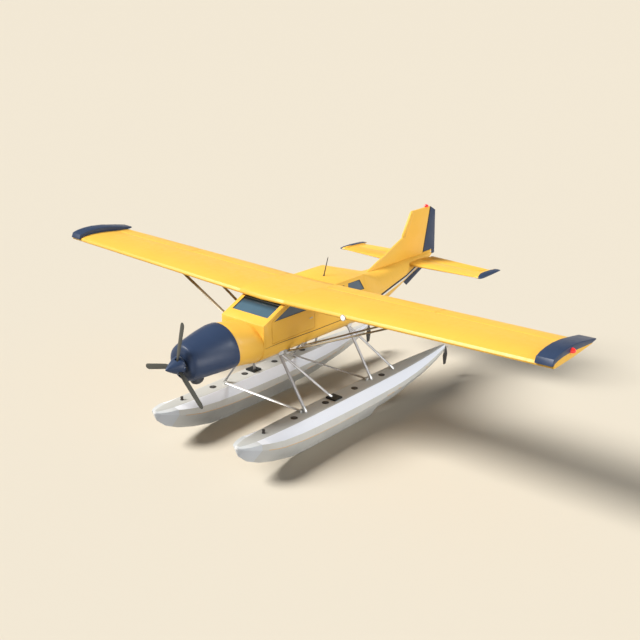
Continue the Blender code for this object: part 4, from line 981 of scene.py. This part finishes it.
for side, word in ((1, "left"), (-1, "right")):
    name = "float_" + word
    cx = side * FLOAT_X
    hull_tree = ray_tree(name)
    chine = {}
    for v in nodes[name].data.vertices:
        y = round(v.co.y, 3)
        if abs(v.co.x - cx) > chine.get(y, (0.0, 0.0))[0]:
            chine[y] = (abs(v.co.x - cx), v.co.z)
    rows = [(y, *chine[y]) for y in sorted(chine) if BOW_CAP_Y < y < 2.6 and chine[y][0] > 0.2]
    work = bmesh.new()
    for out in (1, -1):
        rings = []
        for y, reach, z in rows:
            edge = cx + out * reach
            rings.append([(edge - out * 0.004, y, z - 0.004), (edge + out * 0.004, y, z - 0.003),
                          (edge + out * 0.004, y, z + 0.008), (edge - out * 0.003, y, z + 0.011)])
        loft(work, rings)
    as_piece("chine_strip_" + word, work, "airframe", chine_reflection_paint)
    work = bmesh.new()
    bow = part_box(name)[0].y
    turned(work, (cx, bow + 0.030, BUMPER_Z), (0, -1, 0.15), BUMPER_PROFILE, 20)
    as_piece("bow_bumper_" + word, work, "airframe", white_rubber, 50)
    work = bmesh.new()
    knobs = bmesh.new()
    for y in HATCH_Y:
        turned(work, (cx, y, DECK_Z - 0.002), (0, 0, 1), HATCH_PROFILE, 32)
        rod(knobs, (cx - 0.045, y, DECK_Z + 0.010), (cx + 0.045, y, DECK_Z + 0.010), 0.005, 8)
    as_piece("hatches_" + word, work, "airframe", hatch_black)
    as_piece("hatch_pulls_" + word, knobs, "airframe", cast)
    work = bmesh.new()
    turned(work, (cx, CLEAT_Y, DECK_Z - 0.002), (0, 0, 1), CLEAT_PROFILE, 18)
    as_piece("cleat_" + word, work, "airframe", hatch_black)
    heads = []
    for step in range(-62, 58):
        for out in (-DECK_RIVETS_OUT, DECK_RIVETS_OUT):
            heads.append(dropped(hull_tree, cx + out, step * 0.06))
    for step in range(-6, 6):
        y = FRAME_Y + FRAME_SPACING * step + FRAME_SPACING
        for row in range(12):
            for way in (1, -1):
                start = Vector((cx + way, y, 0.30 + 0.05 * row))
                at, normal, face, distance = hull_tree.ray_cast(start, Vector((-way, 0, 0)))
                if at:
                    heads.append((at, normal))
    heads = [hit for hit in heads if hit and hit[0].z < DECK_Z + 0.002]
    screws("float_rivets_" + word, heads, FLOAT_RIVET, "airframe", alloy, 0.2)


# Float struts and spreaders.
# Drawn alloy tube with cuffs where they meet the deck, in two copies of one grey: the struts and the rear
# spreader take a darker copy as painted shade, and the front spreader a pale copy as painted light.
SHADED_TUBE = (0.40, 0.385, 0.375, 1)
LIT_TUBE = (0.78, 0.78, 0.78, 1)
LUG_X = 0.478
LEG_THICK = 0.040
LEG_CUFF = 0.15
# The darker copy is painted shade, the pale copy painted light.
shaded_tube_paint, tree = paint("shaded_tube_paint", SHADED_TUBE, (0.36, 0.345, 0.335, 1), rough=(0.30, 0.42), metal=0.25)
dress(("float_strut_front_left", "float_strut_front_right"), shaded_tube_paint, 0, 40)
dress(("float_strut_rear_left", "float_strut_rear_right", "spreader_rear"), shaded_tube_paint, 0, 40)
lit_tube, tree = paint("lit_tube", LIT_TUBE, (0.72, 0.72, 0.72, 1), rough=(0.30, 0.42), metal=0.25)
dress(("spreader_front",), lit_tube, 0, 40)
BELLY_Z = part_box("float_strut_front_left")[1].z
LEGS = (("front", ((1.36, -2.107), -2.03, 0.092), ((1.31, -1.085), -1.98, 0.072)),
        ("rear", ((1.335, 0.400), 0.505, 0.092), ((1.335, 1.330), 0.535, 0.072)))
for side, word in ((1, "left"), (-1, "right")):
    for place_word, *legs in LEGS:
        work = bmesh.new()
        for (x, y), top_y, chord in legs:
            foot = Vector((side * x, y, DECK_Z))
            top = Vector((side * LUG_X, top_y, BELLY_Z))
            cuff(work, foot, top, LEG_CUFF, chord, LEG_THICK)
        as_piece("float_strut_cuffs_%s_%s" % (place_word, word), work, "airframe", alloy)


# Water rudders.
# Flat black blades on a post at each stern, with a tiller arm, held by two brackets on the float.
POST_Y = 3.712
TILLER_Z = 0.893
BRACKETS_Z = (0.815, 0.865)
BRACKET_HALF = 0.018
BRACKET_THICK = 0.012

dress(("water_rudder_left", "water_rudder_right"), black, 0.002)
for side, word in ((1, "left"), (-1, "right")):
    cx = side * FLOAT_X
    work = bmesh.new()
    rod(work, (cx, POST_Y, 0.70), (cx, POST_Y, 0.905), 0.012)
    rod(work, (cx - 0.11, POST_Y, TILLER_Z), (cx + 0.11, POST_Y, TILLER_Z), 0.008)
    as_piece("rudder_post_" + word, work, "water_rudder_" + word, alloy)
    work = bmesh.new()
    for z in BRACKETS_Z:
        inner, outer, top = cx - BRACKET_HALF, cx + BRACKET_HALF, z + BRACKET_THICK
        loft(work, [[(inner, y, z), (outer, y, z), (outer, y, top), (inner, y, top)]
                    for y in (3.670, 3.698)])
    as_piece("rudder_brackets_" + word, work, "airframe", alloy)

low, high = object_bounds()
